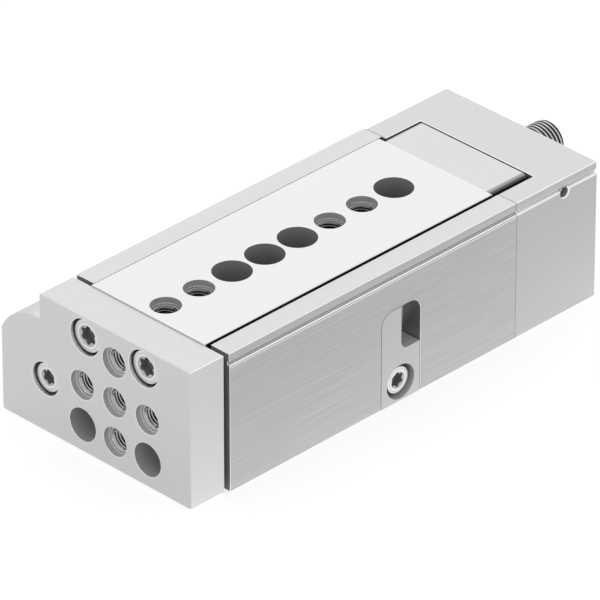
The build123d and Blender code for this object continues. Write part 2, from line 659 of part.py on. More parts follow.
def cylinder_plug():
    """Plug that closes the rear of the bore."""
    return rod_x(BORE_DIAMETER - 2 * SEAL_FIT, PROFILE_REAR, PLUG_FRONT, BORE_Y, BORE_Z)


def stop_block():
    """Block behind the table, with the two legs that meet the stops."""
    section = tee_section(STOP_HALF, STOP_STEM_HALF, STOP_TOP)
    block = along_x(section, STOP_REAR, TABLE_REAR)
    top_edges = block.faces().sort_by(Axis.Z)[-1].edges().filter_by(Axis.X)
    block = fillet(top_edges, STOP_EDGE_RADIUS)
    for side in (-1, 1):
        inner = side * (LEG_SLOT_INNER + LEG_CLEARANCE)
        outer = side * (LEG_OUTER - LEG_CLEARANCE)
        edges = sorted((inner, outer))
        leg = slab(edges[0], edges[1], LEG_SLOT_FLOOR + LEG_CLEARANCE, TABLE_BOTTOM)
        block += along_x(leg, TABLE_REAR - LEG_THICKNESS, TABLE_REAR)
    for y in (-STOP_SCREW_Y, STOP_SCREW_Y):
        ends = (STOP_REAR, TABLE_REAR)
        block -= sunk_hole_x(M4_COUNTERBORE, M4_HEAD_HEIGHT, M4_SHANK, *ends, y, TABLE_SCREW_Z)
    return block


def stop_block_screws():
    """Two cap screws that hold the stop block to the table."""
    length = STOP_LENGTH - HEAD_RECESS - M4_HEAD_HEIGHT + SCREW_REACH
    screw = cap_screw(M4_HEAD, M4_HEAD_HEIGHT, M4_SHANK, length)
    x = STOP_REAR + HEAD_RECESS
    return [facing_rear(x, side * STOP_SCREW_Y, TABLE_SCREW_Z) * screw for side in (-1, 1)]


def rear_absorber_body():
    """Threaded body of the rear absorber, with a hexagon socket in its end."""
    end = BLOCK_REAR - REAR_ABSORBER_REACH
    radius = REAR_ABSORBER_DIAMETER / 2
    points = (
        (end, 0), (end, radius - REAR_ABSORBER_EDGE), (end + REAR_ABSORBER_EDGE, radius),
        (ABSORBER_FRONT, radius), (ABSORBER_FRONT, 0),
    )
    body = turned(points, 0, REAR_ABSORBER_Z)
    depth = PLUNGER_LENGTH + PLUNGER_RESERVE
    bore = PLUNGER_DIAMETER + 2 * PLUNGER_FIT
    body -= rod_x(bore, ABSORBER_FRONT - depth, ABSORBER_FRONT + OVERCUT, 0, REAR_ABSORBER_Z)
    socket = Pos(0, REAR_ABSORBER_Z) * hexagon(STOP_SOCKET_FLATS)
    return body - along_x(socket, end - OVERCUT, end + SOCKET_DEPTH)


def rear_absorber_plunger():
    """Plunger of the rear absorber, pressed in by the stop block."""
    tip = ABSORBER_FRONT + STOP_CLEARANCE / 2
    return rod_x(PLUNGER_DIAMETER, tip - PLUNGER_LENGTH, tip, 0, REAR_ABSORBER_Z)


def front_stop_blank(y):
    """Threaded bar with a hexagon socket in its front end, shared by front absorber and stop screw."""
    front = PROFILE_FRONT - FRONT_ABSORBER_DEPTH
    bar = rod_x(FRONT_ABSORBER_DIAMETER, INNER_BUFFER_X, front, y, BUFFER_Z)
    socket = Pos(y, BUFFER_Z) * hexagon(STOP_SOCKET_FLATS)
    return bar - along_x(socket, front - SOCKET_DEPTH, front + OVERCUT)


def front_absorber_body():
    """Threaded body of the front absorber, reached through the yoke's access hole."""
    body = front_stop_blank(BUFFER_Y)
    end = INNER_BUFFER_X + PLUNGER_LENGTH + PLUNGER_RESERVE
    bore = PLUNGER_DIAMETER + 2 * PLUNGER_FIT
    return body - rod_x(bore, INNER_BUFFER_X - OVERCUT, end, BUFFER_Y, BUFFER_Z)


def front_absorber_plunger():
    """Plunger of the front absorber, out while the table is retracted."""
    tip = INNER_BUFFER_X - STOP_CLEARANCE / 2 - PLUNGER_STROKE
    return rod_x(PLUNGER_DIAMETER, tip, tip + PLUNGER_LENGTH, BUFFER_Y, BUFFER_Z)


def front_stop_screw():
    """Fixed stop screw beside the front absorber, with a seat for its buffer."""
    seat = INNER_BUFFER_X + BUFFER_LENGTH
    body = front_stop_blank(-BUFFER_Y)
    return body - rod_x(BUFFER_DIAMETER, INNER_BUFFER_X - OVERCUT, seat, -BUFFER_Y, BUFFER_Z)


def front_stop_buffer():
    """Rubber buffer in the end of the stop screw."""
    diameter = BUFFER_DIAMETER - 2 * SEAL_FIT
    return rod_x(diameter, INNER_BUFFER_X, INNER_BUFFER_X + BUFFER_LENGTH, -BUFFER_Y, BUFFER_Z)


def absorber_set_screw():
    """Headless screw that locks the rear absorber from the side."""
    radius = REAR_ABSORBER_DIAMETER / 2
    lowest = SET_SCREW_Z - SET_SCREW_DIAMETER / 2 - REAR_ABSORBER_Z
    tip = math.sqrt(radius**2 - lowest**2) + SCREW_FIT
    x = RECESS_REAR - SET_SCREW_SETBACK
    return rod_y(SET_SCREW_DIAMETER, tip, tip + SET_SCREW_LENGTH, x, SET_SCREW_Z)


def write(name, solids):
    """Write one node's solids to its file."""
    shapes = solids if isinstance(solids, list) else [solids]
    loose = [solid for shape in shapes for solid in shape.solids()]
    node = loose[0] if len(loose) == 1 else Compound(children=loose)
    export_step(node, os.path.join("parts", name + ".step"))


def main():
    """Build every node and write it."""
    os.makedirs("parts", exist_ok=True)
    nodes = {
        "housing_profile": housing_profile(),
        "rear_block": rear_block(),
        "rear_block_screws": rear_block_screws(),
        "guide_rail_left": guide_rail(-1),
        "guide_rail_right": guide_rail(1),
        "side_insert": side_insert(),
        "side_insert_screw": side_insert_screw(),
        "bearing_cap": bearing_cap(),
        "rod_bush": ring_about_rod(CAP_REAR, ROD_SEAL_SEAT, BUSH_DIAMETER, ROD_FIT),
        "rod_seal": ring_about_rod(ROD_SEAL_SEAT, CAP_FRONT, ROD_SEAL_DIAMETER, SEAL_FIT),
        "retaining_ring": retaining_ring(),
        "cylinder_plug": cylinder_plug(),
        "rear_absorber_body": rear_absorber_body(),
        "absorber_set_screw": absorber_set_screw(),
        "front_absorber_body": front_absorber_body(),
        "front_stop_screw": front_stop_screw(),
        "front_stop_buffer": front_stop_buffer(),
        "slide_table": slide_table(),
        "yoke_plate": yoke_plate(),
        "yoke_screws": yoke_screws(),
        "rod_screw": rod_screw(),
        "piston_rod": piston_rod(),
        "piston": piston(),
        "piston_seal": piston_ring(PISTON_SEAL_X, PISTON_SEAL_WIDTH, PISTON_SEAL_DEPTH, SEAL_FIT),
        "piston_magnet": piston_ring(MAGNET_X, MAGNET_WIDTH, MAGNET_DEPTH, PISTON_FIT + SEAL_FIT),
        "piston_nut": piston_nut(),
        "stop_block": stop_block(),
        "stop_block_screws": stop_block_screws(),
        "roller_cage_left": roller_cage(-1),
        "rollers_left": guide_rollers(-1),
        "roller_cage_right": roller_cage(1),
        "rollers_right": guide_rollers(1),
        "rear_absorber_plunger": rear_absorber_plunger(),
        "front_absorber_plunger": front_absorber_plunger(),
    }
    for name, solids in nodes.items():
        write(name, solids)


main()
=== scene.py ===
"""Looks of a compact pneumatic slide table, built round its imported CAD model.

The CAD model is the fixed frame. Its visible rigid pieces are copied, get broken edges, real
threads and six-lobe screws, and stand for their nodes. Everything else keeps its node's shape and
gets a finish. All sizes are in metres, in the frame's own axes: +X is the way the table comes out,
+Y the side with the window, +Z up.
"""

import logging
import math
from collections.abc import Callable
from dataclasses import dataclass, replace
from enum import Enum, IntEnum

import bmesh
import bpy
from bmesh.types import BMEdge, BMesh, BMFace, BMVert
from bpy.types import ID, Material, Node, NodeSocket, NodeTree, Object
from mathutils import Matrix, Vector


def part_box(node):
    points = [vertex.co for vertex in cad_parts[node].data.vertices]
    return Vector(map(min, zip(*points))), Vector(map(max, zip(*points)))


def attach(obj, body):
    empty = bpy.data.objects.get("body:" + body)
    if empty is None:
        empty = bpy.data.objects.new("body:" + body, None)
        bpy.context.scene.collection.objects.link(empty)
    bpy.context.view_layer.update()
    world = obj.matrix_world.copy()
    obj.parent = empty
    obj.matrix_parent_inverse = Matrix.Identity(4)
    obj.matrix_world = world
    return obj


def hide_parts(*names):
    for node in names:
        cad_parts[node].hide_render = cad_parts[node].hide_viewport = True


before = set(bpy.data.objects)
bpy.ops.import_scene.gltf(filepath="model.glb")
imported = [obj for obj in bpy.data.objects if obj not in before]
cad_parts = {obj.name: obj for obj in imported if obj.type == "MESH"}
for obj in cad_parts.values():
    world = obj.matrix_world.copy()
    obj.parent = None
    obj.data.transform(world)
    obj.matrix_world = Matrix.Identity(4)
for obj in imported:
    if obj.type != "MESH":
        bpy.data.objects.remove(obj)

LOG = logging.getLogger("slide_table")
MM = 0.001
X_AXIS, Y_AXIS, Z_AXIS = Vector((1, 0, 0)), Vector((0, 1, 0)), Vector((0, 0, 1))

# Distance within which two places count as one
NEAR = 0.02 * MM
# Distances for merging loose triangles and the turns of a thread, and for cutting a thread
SEAM_REACH = 0.001 * MM
TURN_REACH = 0.002 * MM
CUT_REACH = 0.0001 * MM
# Sizes of a normal's part along an axis: the face is square to it, turned to it, or runs along it
SQUARE = 0.95
TURNED = 0.7
ALONG = 0.3
# Angles between two faces: up to the first they are one flat, above the second they are shaded
# apart, and above the third their edge is broken, in so many steps
FLAT_ANGLE = math.radians(0.5)
SHADE_ANGLE = math.radians(40)
EDGE_ANGLE = math.radians(60)
EDGE_STEPS = 2

# Noise of a tool's marks and of a matte grain
MARK_NOISE = {"Scale": 1.0, "Detail": 3.0, "Roughness": 0.6}
GRAIN_DETAIL = 2.0

# Hole grid of table and yoke
PITCH = 10.0 * MM
FIRST_HOLE = 5.35 * MM
CENTRING_DEPTH = 1.6 * MM
CORE_RADIUS = 2.1 * MM
THREADED_TABLE_HOLES = (0, 1, 5, 6)
PLAIN_TABLE_HOLES = (2, 3, 4, 7)
YOKE_THREAD_STEPS = ((0, 0), (1, 0), (-1, 0), (0, 1), (0, -1))
YOKE_ACCESS_HEIGHT = 7.2 * MM

FaceTest = Callable[[BMFace], bool]


class Body(Enum):
    """CAD bodies that the pieces ride on."""

    HOUSING = "housing"
    TABLE = "table"


class Slot(Enum):
    """Material slots of the record, one for each kind of new piece."""

    PROFILE = "profile"
    BLOCK = "block"
    YOKE = "yoke"
    INSERT = "insert"
    STOP = "stop"
    TABLE = "table"
    SCREW = "screw"
    ABSORBER = "absorber"


class Surface(IntEnum):
    """Kinds of surface on one piece, in the order of its materials."""

    BODY = 0
    EDGE = 1
    TOP = 2
    BORE = 3
    SHADE = 4
    RECESS = 5


def linear(hex_colour: str) -> tuple[float, float, float, float]:
    """Turn an sRGB hex colour into Blender's linear values.

    Args:
        hex_colour: Colour such as "#c6c6c6".

    Returns:
        Linear red, green, blue and an alpha of 1.
    """
    channels = [int(hex_colour[i : i + 2], 16) / 255 for i in (1, 3, 5)]
    curved = [c / 12.92 if c <= 0.04045 else ((c + 0.055) / 1.055) ** 2.4 for c in channels]
    return (*curved, 1.0)


def add_node(
    tree: NodeTree, kind: str, inputs: dict[str | int, object], **settings: object
) -> Node:
    """Add one shader node.

    Args:
        tree: Node tree to add it to.
        kind: Node type, such as "ShaderNodeTexNoise".
        inputs: Input's name or place to a value, or to an output socket that is linked to it.
        settings: Attributes of the node itself.

    Returns:
        The new node.
    """
    node = tree.nodes.new(kind)
    for name, value in settings.items():
        setattr(node, name, value)
    for name, value in inputs.items():
        socket = node.inputs[name]
        if isinstance(value, NodeSocket):
            tree.links.new(value, socket)
        else:
            socket.default_value = value
    return node


def new_material(name: str) -> tuple[NodeTree, Node, Node]:
    """Make a material and the coordinates that its pattern needs.

    Args:
        name: Name of the material.

    Returns:
        Its node tree, its shader and the texture coordinates.
    """
    material = bpy.data.materials.new(name)
    material.use_nodes = True
    tree = material.node_tree
    return tree, tree.nodes["Principled BSDF"], add_node(tree, "ShaderNodeTexCoord", {})


def roughen(
    tree: NodeTree,
    pattern: NodeSocket,
    roughness: tuple[float, float],
    relief: float,
    span: tuple[float, float] = (0.0, 1.0),
) -> None:
    """Let a pattern move a shader's roughness and give its surface a shallow relief.

    Args:
        tree: The material's node tree.
        pattern: The pattern's value.
        roughness: Middle of the roughness and its swing to either side.
        relief: Height of the relief.
        span: Values of the pattern that give the least and the most roughness.
    """
    shader = tree.nodes["Principled BSDF"]
    middle, swing = roughness
    limits = {
        "Value": pattern,
        "From Min": span[0],
        "From Max": span[1],
        "To Min": middle - swing,
        "To Max": middle + swing,
    }
    rough = add_node(tree, "ShaderNodeMapRange", limits)
    tree.links.new(rough.outputs["Result"], shader.inputs["Roughness"])
    bump = add_node(tree, "ShaderNodeBump", {"Height": pattern, "Distance": relief})
    tree.links.new(bump.outputs["Normal"], shader.inputs["Normal"])


@dataclass(frozen=True)
class MetalFinish:
    """A metal surface with the fine marks of how it was made.

    The marks are a noise that is stretched along X, the direction of the tool. It moves the
    roughness and the colour a little and gives a shallow relief. Marks as long as they are wide are
    an even grain: real grains are about 0.1 mm and drawn at 0.4 mm, so that they show.
    """

    name: str
    colour: str
    roughness: float
    mark_length: float = 0.4 * MM
    mark_width: float = 0.4 * MM
    relief: float = 0.004 * MM
    roughness_swing: float = 0.08
    colour_swing: float = 0.04
    noise_span: tuple[float, float] = (0.25, 0.75)

    def build(self) -> None:
        """Build the finish as a material under its name."""
        tree, shader, place = new_material(self.name)
        shader.inputs["Metallic"].default_value = 1.0
        sizes = (self.mark_length, self.mark_width, self.mark_width)
        spot = {"Vector": place.outputs["Object"], "Scale": [1 / size for size in sizes]}
        mapping = add_node(tree, "ShaderNodeMapping", spot)
        noise = {"Vector": mapping.outputs["Vector"], **MARK_NOISE}
        pattern = add_node(tree, "ShaderNodeTexNoise", noise).outputs["Fac"]
        base = linear(self.colour)
        dark = tuple(c * (1 - self.colour_swing) for c in base[:3]) + (1.0,)
        light = tuple(min(1.0, c * (1 + self.colour_swing)) for c in base[:3]) + (1.0,)
        colours = {"Factor": pattern, "A": dark, "B": light}
        tint = add_node(tree, "ShaderNodeMix", colours, data_type="RGBA")
        tree.links.new(tint.outputs["Result"], shader.inputs["Base Color"])
        swing = (self.roughness, self.roughness_swing)
        roughen(tree, pattern, swing, self.relief, self.noise_span)


@dataclass(frozen=True)
class MatteFinish:
    """Rubber, plastic or a thick oxide layer: not a bare metal, with a faint grain."""

    name: str
    colour: str
    roughness: float
    roughness_swing: float = 0.05
    grain: float = 0.15 * MM
    relief: float = 0.003 * MM

    def build(self) -> None:
        """Build the finish as a material under its name."""
        tree, shader, place = new_material(self.name)
        shader.inputs["Base Color"].default_value = linear(self.colour)
        noise = {"Vector": place.outputs["Object"], "Scale": 1 / self.grain}
        grain = add_node(tree, "ShaderNodeTexNoise", {**noise, "Detail": GRAIN_DETAIL})
        swing = (self.roughness, self.roughness_swing)
        roughen(tree, grain.outputs["Fac"], swing, self.relief)


Finish = MetalFinish | MatteFinish


def material_of(finish: Finish) -> Material:
    """Find the material of a finish, built when it is first asked for.

    Args:
        finish: The finish.

    Returns:
        Its material.
    """
    if finish.name not in bpy.data.materials:
        finish.build()
    return bpy.data.materials[finish.name]


# Drawn extrusion, brushed along its length and clear anodised: fine lines that run with the slide.
# Real lines are about 0.05 mm apart and drawn here at 0.5 mm, so that they show.
EXTRUSION = MetalFinish(
    "brushed_anodised_extrusion", "#b6b6b6", 0.36, 30 * MM, 0.5 * MM, colour_swing=0.22
)
# Tops of the extrusion: painted lighter, as light falling from above, and with fainter lines.
LIT_EXTRUSION_TOP = MetalFinish(
    "milled_extrusion_top", "#cecece", 0.36, 26 * MM, 0.5 * MM, colour_swing=0.12
)
# Milled block, vibratory finished and clear anodised: even, fine and matte. Its top is painted
# paler, as light falling from above.
MATTE_BLOCK = MetalFinish("matte_anodised_block", "#bcbcbc", 0.42)
LIT_BLOCK_TOP = MetalFinish("matte_block_top", "#cdcdcd", 0.42)
# Front plate, the same treatment on a finer milled face.
YOKE_PLATE = MetalFinish("fine_anodised_plate", "#d0d0d0", 0.4)
# Small die-cast insert, tumbled.
TUMBLED_INSERT = MetalFinish("tumbled_insert", "#bfbfbf", 0.42)
# Ground hardened steel: bright, with the wheel's lines along the travel.
# Real lines are about 0.03 mm apart and drawn here at 0.6 mm.
GROUND_STEEL = MetalFinish(
    "ground_steel", "#dadada", 0.3, 30 * MM, 0.6 * MM, colour_swing=0.08
)
# Sides of the table: painted near black as the gap's shade, so that the gap reads as a black line.
TABLE_FLANK_SHADE = MetalFinish("dark_hardened_flank", "#2c2c2c", 0.45)
# Nickel plated stop block: matte steel grey.
PLATED_STOP = MetalFinish("plated_stop_block", "#d0d0d0", 0.4)
# Its rounded shoulders and flanks: painted shade, mid grey on the shoulders, near black on the
# flanks.
STOP_SHOULDER_SHADE = MetalFinish("stop_block_shoulder", "#a4a4a4", 0.4)
STOP_FLANK_SHADE = MetalFinish("stop_block_flank", "#666666", 0.4)
# Bright zinc plated screws: smooth, with sharp reflections.
ZINC_SCREW = MetalFinish("bright_zinc_screw", "#d2d2d2", 0.28, relief=0.002 * MM)
# Cut thread flanks in bare metal, painted darker than the metal round them as the holes' shade.
# Mid grey in the aluminium yoke, near black in the steel table.
YOKE_THREAD_SHADE = MetalFinish("cut_thread", "#a8a8a8", 0.16, relief=0.002 * MM)
TABLE_THREAD_SHADE = MetalFinish("cut_steel_thread", "#6e6e6e", 0.16, relief=0.002 * MM)
# Walls of the holes: a thin oxide layer that scatters light, so they don't go black inside.
# Their greys are painted shade: pale in the yoke, darker in the table, paler in shallow recesses.
YOKE_HOLE_SHADE = MatteFinish("oxide_on_yoke_hole", "#b0b0b0", 0.6)
YOKE_RECESS_SHADE = MatteFinish("oxide_on_yoke_recess", "#bebebe", 0.5)
TABLE_HOLE_SHADE = MatteFinish("oxide_on_table_hole", "#8a8a8a", 0.35)
TABLE_RECESS_SHADE = MatteFinish("oxide_on_table_recess", "#a8a8a8", 0.45)
# Rounded rims and countersink rings of the screws: the same plating with a painted highlight.
SCREW_RIM_HIGHLIGHT = MetalFinish("rubbed_screw_rim", "#f0f0f0", 0.2, relief=0.001 * MM)
# Countersink of the socket: the same zinc, painted darker as shade.
COUNTERSINK_SHADE = MetalFinish("pressed_countersink", "#b2b2b2", 0.3)
# Pressed sockets of the screws: painted dark as the shade inside them, so the star reads dark.
SOCKET_SHADE = MatteFinish("pressed_socket", "#808080", 0.35)
# Broken edges: a painted highlight, so that they read as a thin bright line.
EDGE_HIGHLIGHT = MetalFinish("polished_broken_edge", "#ececec", 0.3, relief=0.001 * MM)
# Edges where profile, rear block and insert meet: they shade each other and read as a grey line.
JOINT_EDGE = MetalFinish("shaded_joint_edge", "#b0b0b0", 0.4)
# Sawn and anodised end of the profile: matte, painted dark grey as the gap's shade behind the yoke.
PROFILE_END_SHADE = MatteFinish("sawn_profile_end", "#7c7c7c", 0.5)
# Walls of the insert's window and screw hole: tumbled, matte.
INSERT_WALL = MatteFinish("tumbled_insert_wall", "#b4b4b4", 0.45)
# Bed of the side groove and the fine line under it: painted half shade.
GROOVE_SHADE = MetalFinish("groove_bed", "#969696", 0.4)
# Wall of the set screw's hole: matte oxide, painted darker as the shade of its depth.
SET_HOLE_SHADE = MatteFinish("oxide_on_set_hole", "#a0a0a0", 0.45)
# Turned absorber body: bright on the crests of its thread, painted dark between them as shade.
ABSORBER_STEEL = MetalFinish("turned_absorber_steel", "#bcbcbc", 0.2)
ABSORBER_GROOVE_SHADE = MetalFinish("oily_thread_groove", "#606060", 0.2)
# Ground guide rails: mid grey, with lines along the travel.
# Real lines are about 0.03 mm apart and drawn here at 0.2 mm.
RAIL_STEEL = MetalFinish("ground_rail_steel", "#a9a9a9", 0.3, 12 * MM, 0.2 * MM)
# Hard chromed rod, polished: a near mirror of what is round it.
CHROME_ROD = MetalFinish("hard_chrome", "#dadada", 0.12, relief=0.001 * MM)
# Turned aluminium inside the cylinder: light grey with a soft sheen.
TURNED_ALUMINIUM = MetalFinish("turned_aluminium", "#c2c2c2", 0.3)
# Sintered bronze bush: brown and open grained, with soft highlights.
SINTERED_BRONZE = MetalFinish("sintered_bronze", "#a8834f", 0.45, 0.2 * MM, 0.2 * MM)
# Rollers of bearing steel: bright and polished.
ROLLER_STEEL = MetalFinish("polished_bearing_steel", "#d6d6d6", 0.12, relief=0.001 * MM)
# Dull black rubber, dark bonded magnet and the cages' off-white plastic.
SEAL_RUBBER = MatteFinish("black_nitrile", "#1c1c1c", 0.6)
BONDED_MAGNET = MatteFinish("bonded_magnet", "#3a3836", 0.5)
CAGE_PLASTIC = MatteFinish("acetal_cage", "#e4e1d4", 0.45)


def node_copy(node: str) -> BMesh:
    """Copy a CAD node's mesh, merge its loose triangles and clear the seams in its flat faces.

    Args:
        node: Name of the CAD node.

    Returns:
        A new bmesh in the frame's axes.
    """
    bm = bmesh.new()
    bm.from_mesh(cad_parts[node].data)
    bmesh.ops.remove_doubles(bm, verts=bm.verts, dist=SEAM_REACH)
    bmesh.ops.dissolve_limit(
        bm, angle_limit=FLAT_ANGLE, verts=bm.verts, edges=bm.edges, delimit=set()
    )
    return bm


def break_edges(
    bm: BMesh, width: float, keep: Callable[[BMEdge], bool] = lambda edge: False
) -> None:
    """Round every edge that is sharper than an angle.

    Args:
        bm: Mesh to change.
        width: Width of the broken edge.
        keep: Says whether an edge stays as it is.
    """
    sharp = [e for e in bm.edges if e.is_manifold and e.calc_face_angle(0.0) > EDGE_ANGLE]
    round_edges(bm, [edge for edge in sharp if not keep(edge)], width, EDGE_STEPS)


def round_edges(bm: BMesh, edges: list[BMEdge], width: float, segments: int) -> None:
    """Round some edges and mark the new faces as broken edges, painted bright on most pieces.

    Args:
        bm: Mesh to change.
        edges: The edges.
        width: Width of the broken edge.
        segments: Steps across it.
    """
    made = bmesh.ops.bevel(
        bm,
        geom=edges,
        offset=width,
        offset_type="OFFSET",
        segments=segments,
        profile=0.5,
        affect="EDGES",
        clamp_overlap=False,
        material=-1,
    )
    for face in made["faces"]:
        face.material_index = Surface.EDGE


def mark_faces(bm: BMesh, surface: Surface, test: FaceTest, before: Surface = Surface.BODY) -> None:
    """Give the faces of one kind that pass a test another kind of surface.

    Args:
        bm: Mesh to change.
        surface: Their new kind.
        test: Says whether a face is one of them.
        before: Kind of surface that they have now.
    """
    bm.normal_update()
    for face in bm.faces:
        if face.material_index == before and test(face):
            face.material_index = surface


def looks_up(face: BMFace) -> bool:
    """Return whether a face looks up."""
    return face.normal.z > TURNED


def within(facing: Vector | None = None, **spans: tuple[float, float]) -> FaceTest:
    """Make a test for faces whose middle lies in a box.

    Args:
        facing: Direction in which they look, or None for any.
        spans: Lowest and highest place along x, y or z.

    Returns:
        The test.
    """

    def test(face: BMFace) -> bool:
        """Return whether the face looks the right way and its middle lies in the box."""
        middle = face.calc_center_median()
        return (facing is None or face.normal.dot(facing) > SQUARE) and all(
            low < getattr(middle, axis) < high for axis, (low, high) in spans.items()
        )

    return test


def hole_wall(axis: Vector, centres: list[Vector], radius: float) -> FaceTest:
    """Make a test for the walls of round holes along one axis.

    Args:
        axis: Direction of the holes.
        centres: A point on each hole's axis.
        radius: Largest distance of a wall from its hole's axis.

    Returns:
        The test.
    """

    def test(face: BMFace) -> bool:
        """Return whether the face runs along the axis and lies within a hole."""
        middle = face.calc_center_median()
        return abs(face.normal.dot(axis)) <= ALONG and any(
            (middle - centre).cross(axis).length < radius for centre in centres
        )

    return test


def widen_holes(bm: BMesh, axis: Vector, centres: list[Vector], old: float, new: float) -> None:
    """Change the radius of round holes or bars that run along one axis.

    Args:
        bm: Mesh to change.
        axis: Direction of the holes: X, Y or Z.
        centres: A point on each hole's axis.
        old: Radius now.
        new: Radius wanted.
    """
    scale = [1.0 if along else new / old for along in axis]
    for centre in centres:
        ring = [v for v in bm.verts if abs((v.co - centre).cross(axis).length - old) < NEAR]
        bmesh.ops.scale(bm, vec=scale, space=Matrix.Translation(-centre), verts=ring)


def join(bm: BMesh, part: BMesh) -> None:
    """Add one bmesh to another and free it.

    Args:
        bm: Mesh to add to.
        part: Mesh to add.
    """
    mesh = bpy.data.meshes.new("joined_part")
    part.to_mesh(mesh)
    part.free()
    bm.from_mesh(mesh)
    bpy.data.meshes.remove(mesh)


def add_object(name: str, data: ID) -> Object:
    """Put a new object into the scene.

    Args:
        name: Its name.
        data: Its mesh, light or camera.

    Returns:
        The object.
    """
    made = bpy.data.objects.new(name, data)
    bpy.context.scene.collection.objects.link(made)
    return made


def finish_mesh(bm: BMesh, name: str, *finishes: Finish, weighted: bool = True) -> Object:
    """Turn a bmesh into an object with smooth faces and sharp edges.

    Args:
        bm: Mesh to use; it is freed.
        name: Name of the piece.
        finishes: Its finishes, in the order of Surface.
        weighted: Whether large flat faces keep their own normals.

    Returns:
        The new object, at the origin.
    """
    bmesh.ops.recalc_face_normals(bm, faces=bm.faces)
    mesh = bpy.data.meshes.new(name)
    for finish in finishes:
        mesh.materials.append(material_of(finish))
    bm.to_mesh(mesh)
    bm.free()
    if "custom_normal" in mesh.attributes:
        mesh.attributes.remove(mesh.attributes["custom_normal"])
    mesh.shade_smooth()
    mesh.set_sharp_from_angle(angle=SHADE_ANGLE)
    piece = add_object(name, mesh)
    if weighted:
        modifier = piece.modifiers.new("face_weighted_normals", "WEIGHTED_NORMAL")
        modifier.keep_sharp = True
        modifier.weight = 100
    return piece


def dress(piece: Object, body: Body, slot: Slot, *nodes: str) -> None:
    """Seat a piece on its body and hide the CAD nodes that it replaces.

    Args:
        piece: The piece.
        body: CAD body that it rides on.
        slot: Not used.
        nodes: CAD nodes that it replaces.
    """
    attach(piece, body.value)
    if nodes:
        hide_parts(*nodes)
    LOG.info("%s: %d faces, rides on %s", piece.name, len(piece.data.polygons), body.value)


def stand_for(bm: BMesh, node: str, body: Body, slot: Slot, *finishes: Finish) -> None:
    """Turn a bmesh into the detailed piece that stands for a CAD node.

    Args:
        bm: Mesh to use; it is freed.
        node: CAD node that the piece replaces.
        body: CAD body that it rides on.
        slot: The record's material slot.
        finishes: Its finishes, in the order of Surface.
    """
    dress(finish_mesh(bm, f"{node}_detailed", *finishes), body, slot, node)


def solid_boxes(node: str) -> list[tuple[Vector, Vector]]:
    """Find the box of each separate solid in a CAD node.

    Args:
        node: Name of the CAD node.

    Returns:
        Lowest and highest corner of each solid.
    """
    bm = node_copy(node)
    left = set(bm.verts)
    boxes = []
    while left:
        group, front = set(), [left.pop()]
        while front:
            vert = front.pop()
            group.add(vert)
            for edge in vert.link_edges:
                other = edge.other_vert(vert)
                if other in left:
                    left.remove(other)
                    front.append(other)
        places = [vert.co for vert in group]
        low = Vector([min(p[i] for p in places) for i in range(3)])
        high = Vector([max(p[i] for p in places) for i in range(3)])
        boxes.append((low, high))
    bm.free()
    return sorted(boxes, key=lambda box: tuple(box[0]))


@dataclass(frozen=True)
class Thread:
    """Helical thread, spun from the outline of one turn's vee and cut flat where it begins.

    Attributes:
        crest: Radius of the ridges.
        root: Radius of the grooves, where the cut end is closed.
        pitch: Distance from one turn to the next.
        mouth: Radius of a 45 degree chamfer that an inside thread begins in, or 0 for none.
        crest_share: Share of the pitch that is flat on the ridges.
        steps: Faces in each turn.
    """

    crest: float
    root: float
    pitch: float
    mouth: float = 0.0
    crest_share: float = 0.2
    steps: int = 32

    def add_to(self, bm: BMesh, start: Vector, axis: Vector, length: float) -> None:
        """Add one thread to a mesh.

        Args:
            bm: Mesh to add to.
            start: Point on the axis where the thread begins.
            axis: Direction in which it runs.
            length: Its length.
        """
        part = bmesh.new()
        across = axis.orthogonal().normalized()
        before = start - axis * self.pitch
        half, flat = self.pitch / 2, self.pitch * self.crest_share / 2
        crests = ((self.crest, half - flat), (self.crest, half + flat))
        outline = ((self.root, 0.0), *crests, (self.root, self.pitch))
        verts = [part.verts.new(before + across * r + axis * z) for r, z in outline]
        edges = [part.edges.new(pair) for pair in zip(verts[:-1], verts[1:])]
        turns = int(length / self.pitch)
        bmesh.ops.spin(
            part,
            geom=verts + edges,
            cent=start,
            axis=axis,
            dvec=axis * (self.pitch / self.steps),
            angle=math.tau * turns,
            steps=self.steps * turns,
        )
        bmesh.ops.remove_doubles(part, verts=part.verts, dist=TURN_REACH)
        cut = bmesh.ops.bisect_plane(
            part,
            geom=part.verts[:] + part.edges[:] + part.faces[:],
            dist=CUT_REACH,
            plane_co=start,
            plane_no=axis,
            clear_inner=True,
        )["geom_cut"]
        rim = [g for g in cut if isinstance(g, BMEdge)]
        closed = bmesh.ops.extrude_edge_only(part, edges=rim)["geom"]
        for vert in (g for g in closed if isinstance(g, BMVert)):
            vert.co = start + (vert.co - start).normalized() * self.root
        for vert in part.verts:
            deep = (vert.co - start).dot(axis)
            spoke = vert.co - start - axis * deep
            if spoke.length < self.mouth - deep:
                vert.co += spoke.normalized() * (self.mouth - deep - spoke.length)
        join(bm, part)


